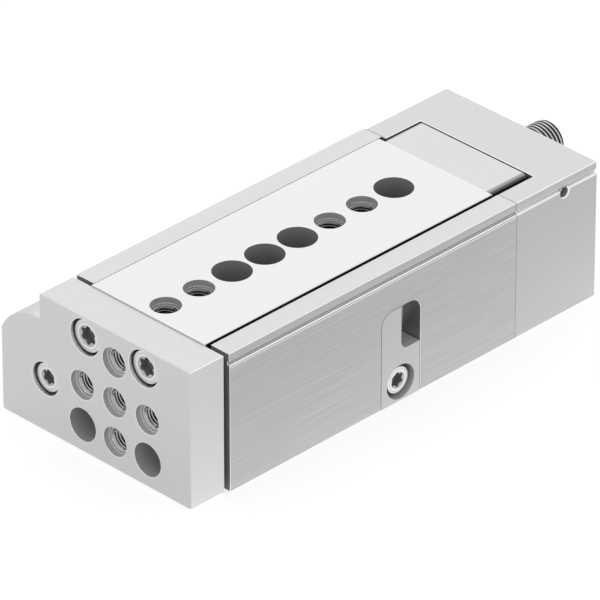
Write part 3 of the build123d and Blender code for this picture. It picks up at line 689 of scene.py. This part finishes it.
@dataclass(frozen=True)
class LobeScrew:
    """Cap screw with a six-lobe socket that opens in a small countersink.

    Attributes:
        head_radius: Radius of the head.
        head_height: Height of the head.
        shank_radius: Radius of the shank.
        socket_radius: Largest radius of the socket.
        socket_depth: Depth of the socket.
        sink_radius: Radius of the countersink at the head's face.
        sink_depth: Depth of the countersink.
        ring_width: Width of the ring round the countersink, painted bright as a highlight.
        edge: Rounding of the head's rim.
        edge_steps: Steps across it.
        lobes: Lobes of the socket.
        lobe_depth: Depth of the valleys between them, as a share of the socket's radius.
        lobe_shape: Above 1 the lobes get wider than the valleys.
        sides: Corners of its circles.
    """

    head_radius: float
    head_height: float
    shank_radius: float
    socket_radius: float
    socket_depth: float
    sink_radius: float
    sink_depth: float = 0.3 * MM
    ring_width: float = 0.25 * MM
    edge: float = 0.25 * MM
    edge_steps: int = 3
    lobes: int = 6
    lobe_depth: float = 0.26
    lobe_shape: float = 1.2
    sides: int = 72

    def add_to(self, bm: BMesh, top: Vector, facing: Vector, length: float) -> None:
        """Add one screw to a mesh.

        Args:
            bm: Mesh to add to.
            top: Middle of the head's top face.
            facing: Direction in which the head points.
            length: Whole length, head and shank.
        """
        part = bmesh.new()
        circle = {"segments": self.sides, "radius": self.socket_radius, "cap_ends": False}
        corners = bmesh.ops.create_circle(part, **circle)["verts"]
        star = list({edge for vert in corners for edge in vert.link_edges})
        for vert in self._verts(star):
            valley = 0.5 - 0.5 * math.cos(self.lobes * math.atan2(vert.co.y, vert.co.x))
            vert.co *= 1.0 - self.lobe_depth * valley**self.lobe_shape
            vert.co.z = -self.sink_depth
        # Walls and floor of the socket get its painted shade
        floor = self._drop(part, star, self.socket_depth - self.sink_depth, Surface.BORE)
        made = bmesh.ops.contextual_create(part, geom=floor)
        made["faces"][0].material_index = Surface.BORE
        # The countersink gets its painted shade
        mouth = self._drop(part, star, -self.sink_depth, Surface.SHADE)
        self._round_out(mouth, self.sink_radius)
        # The flat ring round the countersink gets the painted highlight of the rim
        ring = self._drop(part, mouth, 0.0, Surface.EDGE)
        self._round_out(ring, self.sink_radius + self.ring_width)
        rim = self._drop(part, ring, 0.0)
        self._round_out(rim, self.head_radius)
        skirt = self._drop(part, rim, self.head_height)
        seat = self._drop(part, skirt, 0.0)
        self._round_out(seat, self.shank_radius)
        tip = self._drop(part, seat, length - self.head_height)
        bmesh.ops.contextual_create(part, geom=tip)
        bmesh.ops.recalc_face_normals(part, faces=part.faces)
        # The head's rounded rim gets the painted highlight
        round_edges(part, rim, self.edge, self.edge_steps)
        turn = facing.to_track_quat("Z", "X").to_matrix().to_4x4()
        bmesh.ops.transform(part, matrix=Matrix.Translation(top) @ turn, verts=part.verts)
        join(bm, part)

    def _drop(
        self,
        bm: BMesh,
        edges: list[BMEdge],
        depth: float,
        surface: Surface = Surface.BODY,
    ) -> list[BMEdge]:
        """Extrude a loop of edges down by a depth.

        Args:
            bm: Mesh to change.
            edges: The loop.
            depth: How far down the new loop lies.
            surface: Kind of the faces between the two loops.

        Returns:
            The new loop.
        """
        made = bmesh.ops.extrude_edge_only(bm, edges=edges)["geom"]
        verts = [g for g in made if isinstance(g, BMVert)]
        bmesh.ops.translate(bm, vec=(0.0, 0.0, -depth), verts=verts)
        for face in (g for g in made if isinstance(g, BMFace)):
            face.material_index = surface
        edges_below = {edge for vert in verts for edge in vert.link_edges}
        return [edge for edge in edges_below if all(vert in verts for vert in edge.verts)]

    def _round_out(self, edges: list[BMEdge], radius: float) -> None:
        """Move the vertices of a loop straight out or in to a circle."""
        for vert in self._verts(edges):
            vert.co.xy = vert.co.xy.normalized() * radius

    def _verts(self, edges: list[BMEdge]) -> list[BMVert]:
        """Return the vertices of some edges, each once."""
        return list({vert for edge in edges for vert in edge.verts})


M5_SCREW = LobeScrew(3.95 * MM, 4.2 * MM, 2.5 * MM, 2.3 * MM, 2.2 * MM, 2.6 * MM)
M4_SCREW = LobeScrew(3.3 * MM, 3.2 * MM, 2.0 * MM, 1.85 * MM, 1.8 * MM, 2.1 * MM)
M4_WIDE_SCREW = replace(M4_SCREW, head_radius=3.5 * MM)
HOLE_THREAD = Thread(2.15 * MM, 2.58 * MM, 0.8 * MM, mouth=2.62 * MM)
ABSORBER_THREAD = Thread(4.9 * MM, 4.35 * MM, 1.0 * MM, crest_share=0.42, steps=48)


def screws_for(node: str, size: LobeScrew, facing: Vector, body: Body) -> None:
    """Put a detailed screw where each solid of a screw node is, all in one piece.

    Args:
        node: CAD node that holds the screws.
        size: The screw.
        facing: Direction in which the heads point.
        body: CAD body that they ride on.
    """
    axis = max(range(3), key=lambda i: abs(facing[i]))
    bm = bmesh.new()
    for low, high in solid_boxes(node):
        top = (low + high) / 2
        top[axis] = high[axis] if facing[axis] > 0 else low[axis]
        size.add_to(bm, top, facing, high[axis] - low[axis])
    finishes = (ZINC_SCREW, SCREW_RIM_HIGHLIGHT, ZINC_SCREW, SOCKET_SHADE, COUNTERSINK_SHADE)
    stand_for(bm, node, body, Slot.SCREW, *finishes)


@dataclass
class Housing:
    """The fixed side: profile, rear block, insert, rear absorber and their screws."""

    edge: float = 0.12 * MM
    block_edge: float = 0.18 * MM
    insert_edge: float = 0.15 * MM
    thread_lead: float = 0.6 * MM
    thread_crest_margin: float = 0.03 * MM
    # Side groove: how far its floor lies below the top, how deep it is and how far it is lifted
    groove_foot: float = 3.1 * MM
    groove_depth: float = 0.65 * MM
    groove_lift: float = 0.25 * MM
    groove_chamfer: float = 0.27 * MM
    block_groove_chamfer: float = 0.4 * MM
    # Width of each painted line under the groove's chamfer, one of shade and one of highlight
    line_width: float = 0.22 * MM
    joint_reach: float = 0.25 * MM
    # Set screw's hole: its radius, that of its mouth, and how deep the matte wall goes
    set_hole: float = 1.25 * MM
    set_hole_mouth: float = 1.55 * MM
    set_hole_wall: float = 5.0 * MM
    set_hole_margin: float = 0.1 * MM
    set_hole_sides: int = 48

    def build(self) -> None:
        """Build and dress every visible piece of the housing."""
        self.profile()
        self.rear_block()
        self.insert()
        screws_for("side_insert_screw", M4_SCREW, Y_AXIS, Body.HOUSING)
        screws_for("rear_block_screws", M4_SCREW, -X_AXIS, Body.HOUSING)
        self.rear_absorber()

    def profile(self) -> None:
        """Dress the profile: top, side groove with painted lines, and the joint at its rear end."""
        bm = node_copy("housing_profile")
        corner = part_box("housing_profile")[1]
        side, foot = corner.y, corner.z - self.groove_foot + self.groove_lift
        self.lift_groove(bm, corner)
        self.chamfer_groove(bm, side, foot, self.groove_chamfer)
        # Heights that split the side face for the painted lines under the groove
        lines = [foot - self.groove_chamfer - step * self.line_width for step in (1, 2)]
        for height in lines:
            bm.normal_update()
            sides = [f for f in bm.faces if f.normal.y > SQUARE]
            faces = [f for f in sides if abs(f.verts[0].co.y - side) < NEAR]
            geom = {part for f in faces for part in (f, *f.edges, *f.verts)}
            plane = Z_AXIS * height
            bmesh.ops.bisect_plane(bm, geom=list(geom), plane_co=plane, plane_no=Z_AXIS)
        break_edges(bm, self.edge)
        self.mark_joint(bm)
        low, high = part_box("side_insert")
        outline = within(
            x=(low.x + 2 * self.joint_reach, high.x + self.joint_reach),
            y=(side - self.joint_reach, math.inf),
            z=(-math.inf, foot - NEAR),
        )
        mark_faces(bm, Surface.SHADE, outline, Surface.EDGE)
        # The profile's front end gets the painted shade of the gap behind the yoke
        mark_faces(bm, Surface.BORE, within(X_AXIS, x=(corner.x - NEAR, math.inf)))
        # Faces that look up get the extrusion's top, painted lighter as light from above
        mark_faces(bm, Surface.TOP, looks_up)
        # Under the groove: a line of painted shade, a painted highlight below it, painted shade on
        # the bed
        bands = (
            (Surface.RECESS, lines[0], foot),
            (Surface.EDGE, lines[1], lines[0]),
            (Surface.RECESS, foot, foot + self.groove_depth),
        )
        beside = (side - self.groove_depth - NEAR, math.inf)
        for surface, *span in bands:
            mark_faces(bm, surface, within(Y_AXIS, y=beside, z=span))
        finishes = (EXTRUSION, EDGE_HIGHLIGHT, LIT_EXTRUSION_TOP, PROFILE_END_SHADE, JOINT_EDGE, GROOVE_SHADE)
        stand_for(bm, "housing_profile", Body.HOUSING, Slot.PROFILE, *finishes)

    def insert(self) -> None:
        """Dress the side insert: shaded outline, matte walls in its window and screw hole."""
        bm = node_copy("side_insert")
        break_edges(bm, self.insert_edge)
        mark_faces(bm, Surface.BORE, lambda face: abs(face.normal.y) < TURNED)
        finishes = (TUMBLED_INSERT, JOINT_EDGE, TUMBLED_INSERT, INSERT_WALL)
        stand_for(bm, "side_insert", Body.HOUSING, Slot.INSERT, *finishes)

    def rear_block(self) -> None:
        """Dress the rear block: painted top, side groove, joint and the set screw's sunk hole."""
        bm = node_copy("rear_block")
        low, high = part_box("absorber_set_screw")
        hole = (low + high) / 2
        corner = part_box("rear_block")[1]
        self.lift_groove(bm, corner)
        widen_holes(bm, Y_AXIS, [hole], self.set_hole, self.set_hole_mouth)
        foot = corner.z - self.groove_foot + self.groove_lift
        self.chamfer_groove(bm, corner.y, foot, self.block_groove_chamfer)
        reach = self.set_hole_mouth + self.set_hole_margin

        def at_hole(edge: BMEdge) -> bool:
            """Return whether an edge lies on the set screw's hole."""
            offsets = [vert.co - hole for vert in edge.verts]
            return all(offset.xz.length < reach for offset in offsets)

        break_edges(bm, self.block_edge, keep=at_hole)
        self.mark_joint(bm)
        # Faces that look up get the block's top, painted paler as light from above
        mark_faces(bm, Surface.TOP, looks_up)
        self.sink_ring(bm, Vector((hole.x, corner.y, hole.z)))
        finishes = (MATTE_BLOCK, EDGE_HIGHLIGHT, LIT_BLOCK_TOP, SET_HOLE_SHADE, JOINT_EDGE)
        stand_for(bm, "rear_block", Body.HOUSING, Slot.BLOCK, *finishes)

    def sink_ring(self, bm: BMesh, mouth: Vector) -> None:
        """Add the countersink of the set screw's hole, with the first stretch of its wall.

        Args:
            bm: Mesh to add to.
            mouth: Point on the hole's axis in the side face.
        """
        slant = self.set_hole_mouth - self.set_hole
        outline = (
            (self.set_hole_mouth, self.groove_depth),
            (self.set_hole_mouth, 0.0),
            (self.set_hole, slant),
            (self.set_hole, self.set_hole_wall),
        )
        part = bmesh.new()
        verts = [part.verts.new(mouth + Vector((out, -deep, 0))) for out, deep in outline]
        edges = [part.edges.new(pair) for pair in zip(verts, verts[1:])]
        bmesh.ops.spin(
            part,
            geom=verts + edges,
            cent=mouth,
            axis=Y_AXIS,
            angle=math.tau,
            steps=self.set_hole_sides,
            use_merge=True,
        )
        bmesh.ops.recalc_face_normals(part, faces=part.faces)
        # The wall gets the painted shade of the hole, the mouth's ring the painted edge highlight
        for face in part.faces:
            middle = face.calc_center_median() - mouth
            inside = middle.xz.length < self.set_hole
            face.material_index = Surface.BORE if inside else Surface.EDGE
        join(bm, part)

    def mark_joint(self, bm: BMesh) -> None:
        """Give the broken edges where profile and rear block meet their own kind.

        Args:
            bm: Mesh to change.
        """
        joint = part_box("housing_profile")[0].x
        reach = (joint - self.joint_reach, joint + self.joint_reach)
        mark_faces(bm, Surface.SHADE, within(x=reach), Surface.EDGE)

    def lift_groove(self, bm: BMesh, corner: Vector) -> None:
        """Lift the side groove's floor to the height that the photo shows.

        Args:
            bm: Mesh to change.
            corner: Highest corner of the piece's box.
        """
        foot = corner.z - self.groove_foot
        for vert in bm.verts:
            beside = vert.co.y > corner.y - self.groove_depth - NEAR
            if beside and abs(vert.co.z - foot) < NEAR:
                vert.co.z += self.groove_lift

    def chamfer_groove(self, bm: BMesh, side: float, foot: float, width: float) -> None:
        """Cut a chamfer along the lower edge of the side groove, painted bright as a highlight.

        Args:
            bm: Mesh to change.
            side: Y of the side face.
            foot: Z of the groove's floor.
            width: Width of the chamfer.
        """
        edges = [
            edge
            for edge in bm.edges
            if all(abs(v.co.y - side) < NEAR and abs(v.co.z - foot) < NEAR for v in edge.verts)
        ]
        round_edges(bm, edges, width, 1)

    def rear_absorber(self) -> None:
        """Give the rear absorber its fine outside thread."""
        low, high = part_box("rear_absorber_body")
        middle = (low + high) / 2
        bm = node_copy("rear_absorber_body")
        widen_holes(bm, X_AXIS, [middle], ABSORBER_THREAD.crest, ABSORBER_THREAD.root)
        start = Vector((low.x + self.thread_lead, middle.y, middle.z))
        length = high.x - low.x - 2 * self.thread_lead
        ABSORBER_THREAD.add_to(bm, start, X_AXIS, length)
        crest = ABSORBER_THREAD.crest - self.thread_crest_margin

        def is_bright(face: BMFace) -> bool:
            """Return whether the face is a crest or looks along the axis."""
            out, slope = (face.calc_center_median() - middle).yz.length, abs(face.normal.x)
            return slope > SQUARE or (out > crest and slope < ALONG)

        # Crests and end faces keep the steel; the thread's other faces get the painted shade of its
        # grooves
        mark_faces(bm, Surface.EDGE, is_bright)
        piece = finish_mesh(bm, "rear_absorber_threaded", ABSORBER_GROOVE_SHADE, ABSORBER_STEEL)
        dress(piece, Body.HOUSING, Slot.ABSORBER, "rear_absorber_body")


@dataclass
class Carriage:
    """What moves: table, yoke, stop block and their screws."""

    table_edge: float = 0.15 * MM
    yoke_edge: float = 0.2 * MM
    stop_edge: float = 0.2 * MM
    table_access_radius: float = 4.5 * MM
    yoke_access_radius: float = 4.0 * MM
    recess_radius: float = 3.5 * MM
    seat_radius: float = 4.55 * MM
    seat_radius_shown: float = 4.38 * MM
    flank_slope: float = 0.35
    stop_flank_slope: float = 0.6
    stop_shoulder_slope: float = 0.2

    def build(self) -> None:
        """Build and dress every visible piece of the carriage."""
        self.table()
        self.yoke()
        self.stop_block()
        screws_for("yoke_screws", M5_SCREW, X_AXIS, Body.TABLE)
        screws_for("rod_screw", M4_WIDE_SCREW, X_AXIS, Body.TABLE)
        screws_for("stop_block_screws", M4_SCREW, -X_AXIS, Body.TABLE)

    def table(self) -> None:
        """Table with its hole row and the threads in four of the holes."""
        low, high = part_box("slide_table")
        threaded, plain = (
            [Vector((high.x - FIRST_HOLE - i * PITCH, 0.0, high.z)) for i in indices]
            for indices in (THREADED_TABLE_HOLES, PLAIN_TABLE_HOLES)
        )
        bm = node_copy("slide_table")
        widen_holes(bm, Z_AXIS, threaded, CORE_RADIUS, HOLE_THREAD.mouth)
        break_edges(bm, self.table_edge)
        ledge = high.z - CENTRING_DEPTH / 2
        # Floors of the centring recesses get the painted shade of the table's holes
        mark_faces(
            bm,
            Surface.BORE,
            lambda face: looks_up(face) and face.calc_center_median().z < ledge,
        )
        mark_faces(bm, Surface.TOP, looks_up)
        # Walls of the plain holes get the painted hole shade, those of the threaded recesses a
        # paler one
        mark_faces(bm, Surface.BORE, hole_wall(Z_AXIS, plain, self.table_access_radius))
        mark_faces(bm, Surface.RECESS, hole_wall(Z_AXIS, threaded, self.recess_radius))
        # Faces that turn to the side get the painted shade of the gap beside the table
        mark_faces(bm, Surface.SHADE, lambda face: abs(face.normal.y) > self.flank_slope)
        walls = (TABLE_HOLE_SHADE, TABLE_FLANK_SHADE, TABLE_RECESS_SHADE)
        finishes = (GROUND_STEEL, EDGE_HIGHLIGHT, GROUND_STEEL, *walls)
        stand_for(bm, "slide_table", Body.TABLE, Slot.TABLE, *finishes)
        depth = high.z - low.z - CENTRING_DEPTH
        self.threads("table_threads", threaded, -Z_AXIS, depth, Slot.TABLE, TABLE_THREAD_SHADE)

    def yoke(self) -> None:
        """Front plate with the threads in its five centred holes."""
        low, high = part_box("yoke_plate")
        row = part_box("housing_profile")[1].z / 2
        centres = [
            Vector((high.x, step_y * PITCH, row + step_z * PITCH))
            for step_y, step_z in YOKE_THREAD_STEPS
        ]
        access = [Vector((high.x, side * PITCH, YOKE_ACCESS_HEIGHT)) for side in (-1, 1)]
        bm = node_copy("yoke_plate")
        widen_holes(bm, X_AXIS, centres, CORE_RADIUS, HOLE_THREAD.mouth)
        seats = [(box[0] + box[1]) / 2 for box in solid_boxes("yoke_screws")]
        widen_holes(bm, X_AXIS, seats, self.seat_radius, self.seat_radius_shown)
        break_edges(bm, self.yoke_edge)
        # Walls of the access holes and centring recesses get the yoke's painted hole shade
        mark_faces(bm, Surface.BORE, hole_wall(X_AXIS, access, self.yoke_access_radius))
        mark_faces(bm, Surface.RECESS, hole_wall(X_AXIS, centres, self.recess_radius))
        finishes = (YOKE_PLATE, EDGE_HIGHLIGHT, YOKE_PLATE, YOKE_HOLE_SHADE, YOKE_PLATE, YOKE_RECESS_SHADE)
        stand_for(bm, "yoke_plate", Body.TABLE, Slot.YOKE, *finishes)
        depth = high.x - low.x - CENTRING_DEPTH
        self.threads("yoke_threads", centres, -X_AXIS, depth, Slot.YOKE, YOKE_THREAD_SHADE)

    def threads(
        self,
        name: str,
        mouths: list[Vector],
        inward: Vector,
        depth: float,
        slot: Slot,
        finish: MetalFinish,
    ) -> None:
        """Cut threads below the centring recesses.

        Args:
            name: Name of the piece.
            mouths: Middle of each hole at the outer face.
            inward: Direction into the hole.
            depth: Length of the threaded wall.
            slot: The record's material slot.
            finish: Finish of the flanks.
        """
        bm = bmesh.new()
        for mouth in mouths:
            HOLE_THREAD.add_to(bm, mouth + inward * CENTRING_DEPTH, inward, depth)
        dress(finish_mesh(bm, name, finish, weighted=False), Body.TABLE, slot)

    def stop_block(self) -> None:
        """Stop block behind the table."""
        bm = node_copy("stop_block")
        break_edges(bm, self.stop_edge)
        # Faces that turn to the side get painted shade: near black on the flanks, mid grey on the
        # shoulders
        slopes = {Surface.SHADE: self.stop_flank_slope, Surface.RECESS: self.stop_shoulder_slope}
        for surface, slope in slopes.items():
            mark_faces(bm, surface, lambda face: abs(face.normal.y) > slope)
        finishes = (PLATED_STOP, EDGE_HIGHLIGHT, PLATED_STOP, PLATED_STOP, STOP_FLANK_SHADE, STOP_SHOULDER_SHADE)
        stand_for(bm, "stop_block", Body.TABLE, Slot.STOP, *finishes)


@dataclass(frozen=True)
class InnerWorks:
    """CAD nodes that keep their own shape and only get a finish."""

    finishes: tuple[tuple[Finish, tuple[str, ...]], ...] = (
        (RAIL_STEEL, ("guide_rail_left", "guide_rail_right")),
        (RAIL_STEEL, ("retaining_ring", "absorber_set_screw")),
        (CAGE_PLASTIC, ("roller_cage_left", "roller_cage_right")),
        (ROLLER_STEEL, ("rollers_left", "rollers_right")),
        (CHROME_ROD, ("piston_rod", "rear_absorber_plunger", "front_absorber_plunger")),
        (TURNED_ALUMINIUM, ("bearing_cap", "cylinder_plug", "piston")),
        (SINTERED_BRONZE, ("rod_bush",)),
        (SEAL_RUBBER, ("rod_seal", "piston_seal", "front_stop_buffer")),
        (BONDED_MAGNET, ("piston_magnet",)),
        (ZINC_SCREW, ("piston_nut",)),
        (ABSORBER_STEEL, ("front_absorber_body", "front_stop_screw")),
    )

    def build(self) -> None:
        """Assign the finishes."""
        for finish, nodes in self.finishes:
            material = material_of(finish)
            for name in nodes:
                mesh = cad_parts[name].data
                mesh.materials.clear()
                mesh.materials.append(material)
            LOG.info("%s on %s", finish.name, ", ".join(nodes))


def aim(thing: Object, place: Vector, direction: Vector) -> None:
    """Put a lamp or a camera at a place and let it look in a direction.

    Args:
        thing: The lamp or the camera.
        place: Where it stands.
        direction: Where it looks.
    """
    thing.location = place
    thing.rotation_mode = "QUATERNION"
    thing.rotation_quaternion = direction.to_track_quat("-Z", "Y")


@dataclass
class Studio:
    """Floor, world, one soft box and the camera.

    In mirrored rays the floor glows more beside the object than further out, so the brushed sides
    get brighter towards their foot.
    """

    eye: tuple[float, float, float] = (1.05552, 1.05003, 0.92520)
    forward: tuple[float, float, float] = (-0.6057, -0.6023, -0.5200)
    lens: float = 479.03
    sensor: float = 36.0
    clip: tuple[float, float] = (0.1, 20.0)
    floor_size: float = 6.0
    floor_cells: int = 8
    floor_drop: float = 0.1 * MM
    floor_colour: str = "#c8c8c8"
    floor_roughness: float = 0.9
    diffuse_world: float = 0.8
    shown_world: float = 1.0
    floor_glow: float = 0.6
    mirrored_glow: float = 0.48
    mirrored_glow_at_foot: float = 0.8
    # X of the object's front, Y of its foot, and Y where the mirrored glow has faded
    front: float = 56 * MM
    foot: float = 23.6 * MM
    glow_reach: float = 60 * MM
    lamp_place: tuple[float, float, float] = (-0.6, -0.6, 0.75)
    lamp_target: tuple[float, float, float] = (-0.01, 0.0, 0.017)
    lamp_side: float = 0.9
    lamp_power: float = 0.7

    def build(self) -> None:
        """Build floor, world, lamp and camera."""
        self.world()
        self.floor()
        self.lamp()
        self.camera()
        bpy.context.scene.view_settings.view_transform = "Standard"

    def world(self) -> None:
        """White surroundings, dimmer for diffuse light than for what is seen or mirrored."""
        world = bpy.data.worlds.new("studio_world")
        bpy.context.scene.world = world
        world.use_nodes = True
        tree = world.node_tree
        tree.nodes.clear()
        shown = self.shown_rays(tree)
        strengths = {"Value": shown, "To Min": self.diffuse_world, "To Max": self.shown_world}
        level = add_node(tree, "ShaderNodeMapRange", strengths)
        white = {"Color": linear("#ffffff"), "Strength": level.outputs["Result"]}
        glow = add_node(tree, "ShaderNodeBackground", white)
        add_node(tree, "ShaderNodeOutputWorld", {"Surface": glow.outputs["Background"]})

    def shown_rays(self, tree: NodeTree) -> NodeSocket:
        """Tell rays that show the background from the others.

        Args:
            tree: Node tree to add the test to.

        Returns:
            A socket that is 1 for camera, glossy and transmission rays.
        """
        path = add_node(tree, "ShaderNodeLightPath", {}).outputs
        pair = {0: path["Is Camera Ray"], 1: path["Is Glossy Ray"]}
        first = add_node(tree, "ShaderNodeMath", pair, operation="MAXIMUM")
        pair = {0: first.outputs[0], 1: path["Is Transmission Ray"]}
        return add_node(tree, "ShaderNodeMath", pair, operation="MAXIMUM").outputs[0]

    def floor(self) -> None:
        """Pale floor that clears to white away from the object's shadow."""
        bm = bmesh.new()
        cells = {"x_segments": self.floor_cells, "y_segments": self.floor_cells}
        bmesh.ops.create_grid(bm, **cells, size=self.floor_size / 2)
        bmesh.ops.translate(bm, vec=(0.0, 0.0, -self.floor_drop), verts=bm.verts)
        mesh = bpy.data.meshes.new("floor")
        bm.to_mesh(mesh)
        bm.free()
        floor = add_object("floor", mesh)
        paper = "pale_studio_paper"
        tree, shader, place = new_material(paper)
        shader.inputs["Base Color"].default_value = linear(self.floor_colour)
        shader.inputs["Roughness"].default_value = self.floor_roughness
        shown = self.shown_rays(tree)
        shader.inputs["Emission Color"].default_value = linear("#ffffff")
        glow = self.floor_glow_level(tree, place)
        lift = add_node(tree, "ShaderNodeMath", {0: shown, 1: glow}, operation="MULTIPLY")
        tree.links.new(lift.outputs[0], shader.inputs["Emission Strength"])
        mesh.materials.append(bpy.data.materials[paper])

    def floor_glow_level(self, tree: NodeTree, place: Node) -> NodeSocket:
        """Even glow of the floor, but in mirrored rays more of it beside the object's foot.

        Args:
            tree: Node tree to add it to.
            place: Its texture coordinates.

        Returns:
            A socket with the strength.
        """
        parts = add_node(tree, "ShaderNodeSeparateXYZ", {"Vector": place.outputs["Object"]})
        aside = add_node(tree, "ShaderNodeMath", {0: parts.outputs["Y"]}, operation="ABSOLUTE")
        fall = {
            "Value": aside.outputs[0],
            "From Min": self.foot,
            "From Max": self.glow_reach,
            "To Min": self.mirrored_glow_at_foot,
            "To Max": self.mirrored_glow,
        }
        beside = add_node(tree, "ShaderNodeMapRange", fall)
        reach = {0: parts.outputs["X"], 1: self.front}
        behind = add_node(tree, "ShaderNodeMath", reach, operation="LESS_THAN")
        ends = {"A": self.mirrored_glow, "B": beside.outputs["Result"]}
        mirrored = add_node(tree, "ShaderNodeMix", {"Factor": behind.outputs[0], **ends})
        path = add_node(tree, "ShaderNodeLightPath", {})
        glossy, result = path.outputs["Is Glossy Ray"], mirrored.outputs["Result"]
        level = add_node(
            tree, "ShaderNodeMix", {"Factor": glossy, "A": self.floor_glow, "B": result}
        )
        return level.outputs["Result"]

    def lamp(self) -> None:
        """Hang the soft box above and behind the object."""
        name = "key_top_rear"
        light = bpy.data.lights.new(name, "AREA")
        light.shape = "RECTANGLE"
        light.size = light.size_y = self.lamp_side
        light.energy = self.lamp_power
        lamp = add_object(name, light)
        place = Vector(self.lamp_place)
        aim(lamp, place, Vector(self.lamp_target) - place)
        lamp.visible_camera = False

    def camera(self) -> None:
        """Camera at the photograph's place, fitted from the object's right angles."""
        data = bpy.data.cameras.new("camera")
        data.lens = self.lens
        data.sensor_width = self.sensor
        data.clip_start, data.clip_end = self.clip
        camera = add_object("camera", data)
        aim(camera, Vector(self.eye), Vector(self.forward))
        bpy.context.scene.camera = camera


def main() -> None:
    """Build the scene."""
    logging.basicConfig(level=logging.INFO, format="%(name)s: %(message)s")
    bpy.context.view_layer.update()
    Housing().build()
    Carriage().build()
    InnerWorks().build()
    Studio().build()


if __name__ == "__main__":
    main()
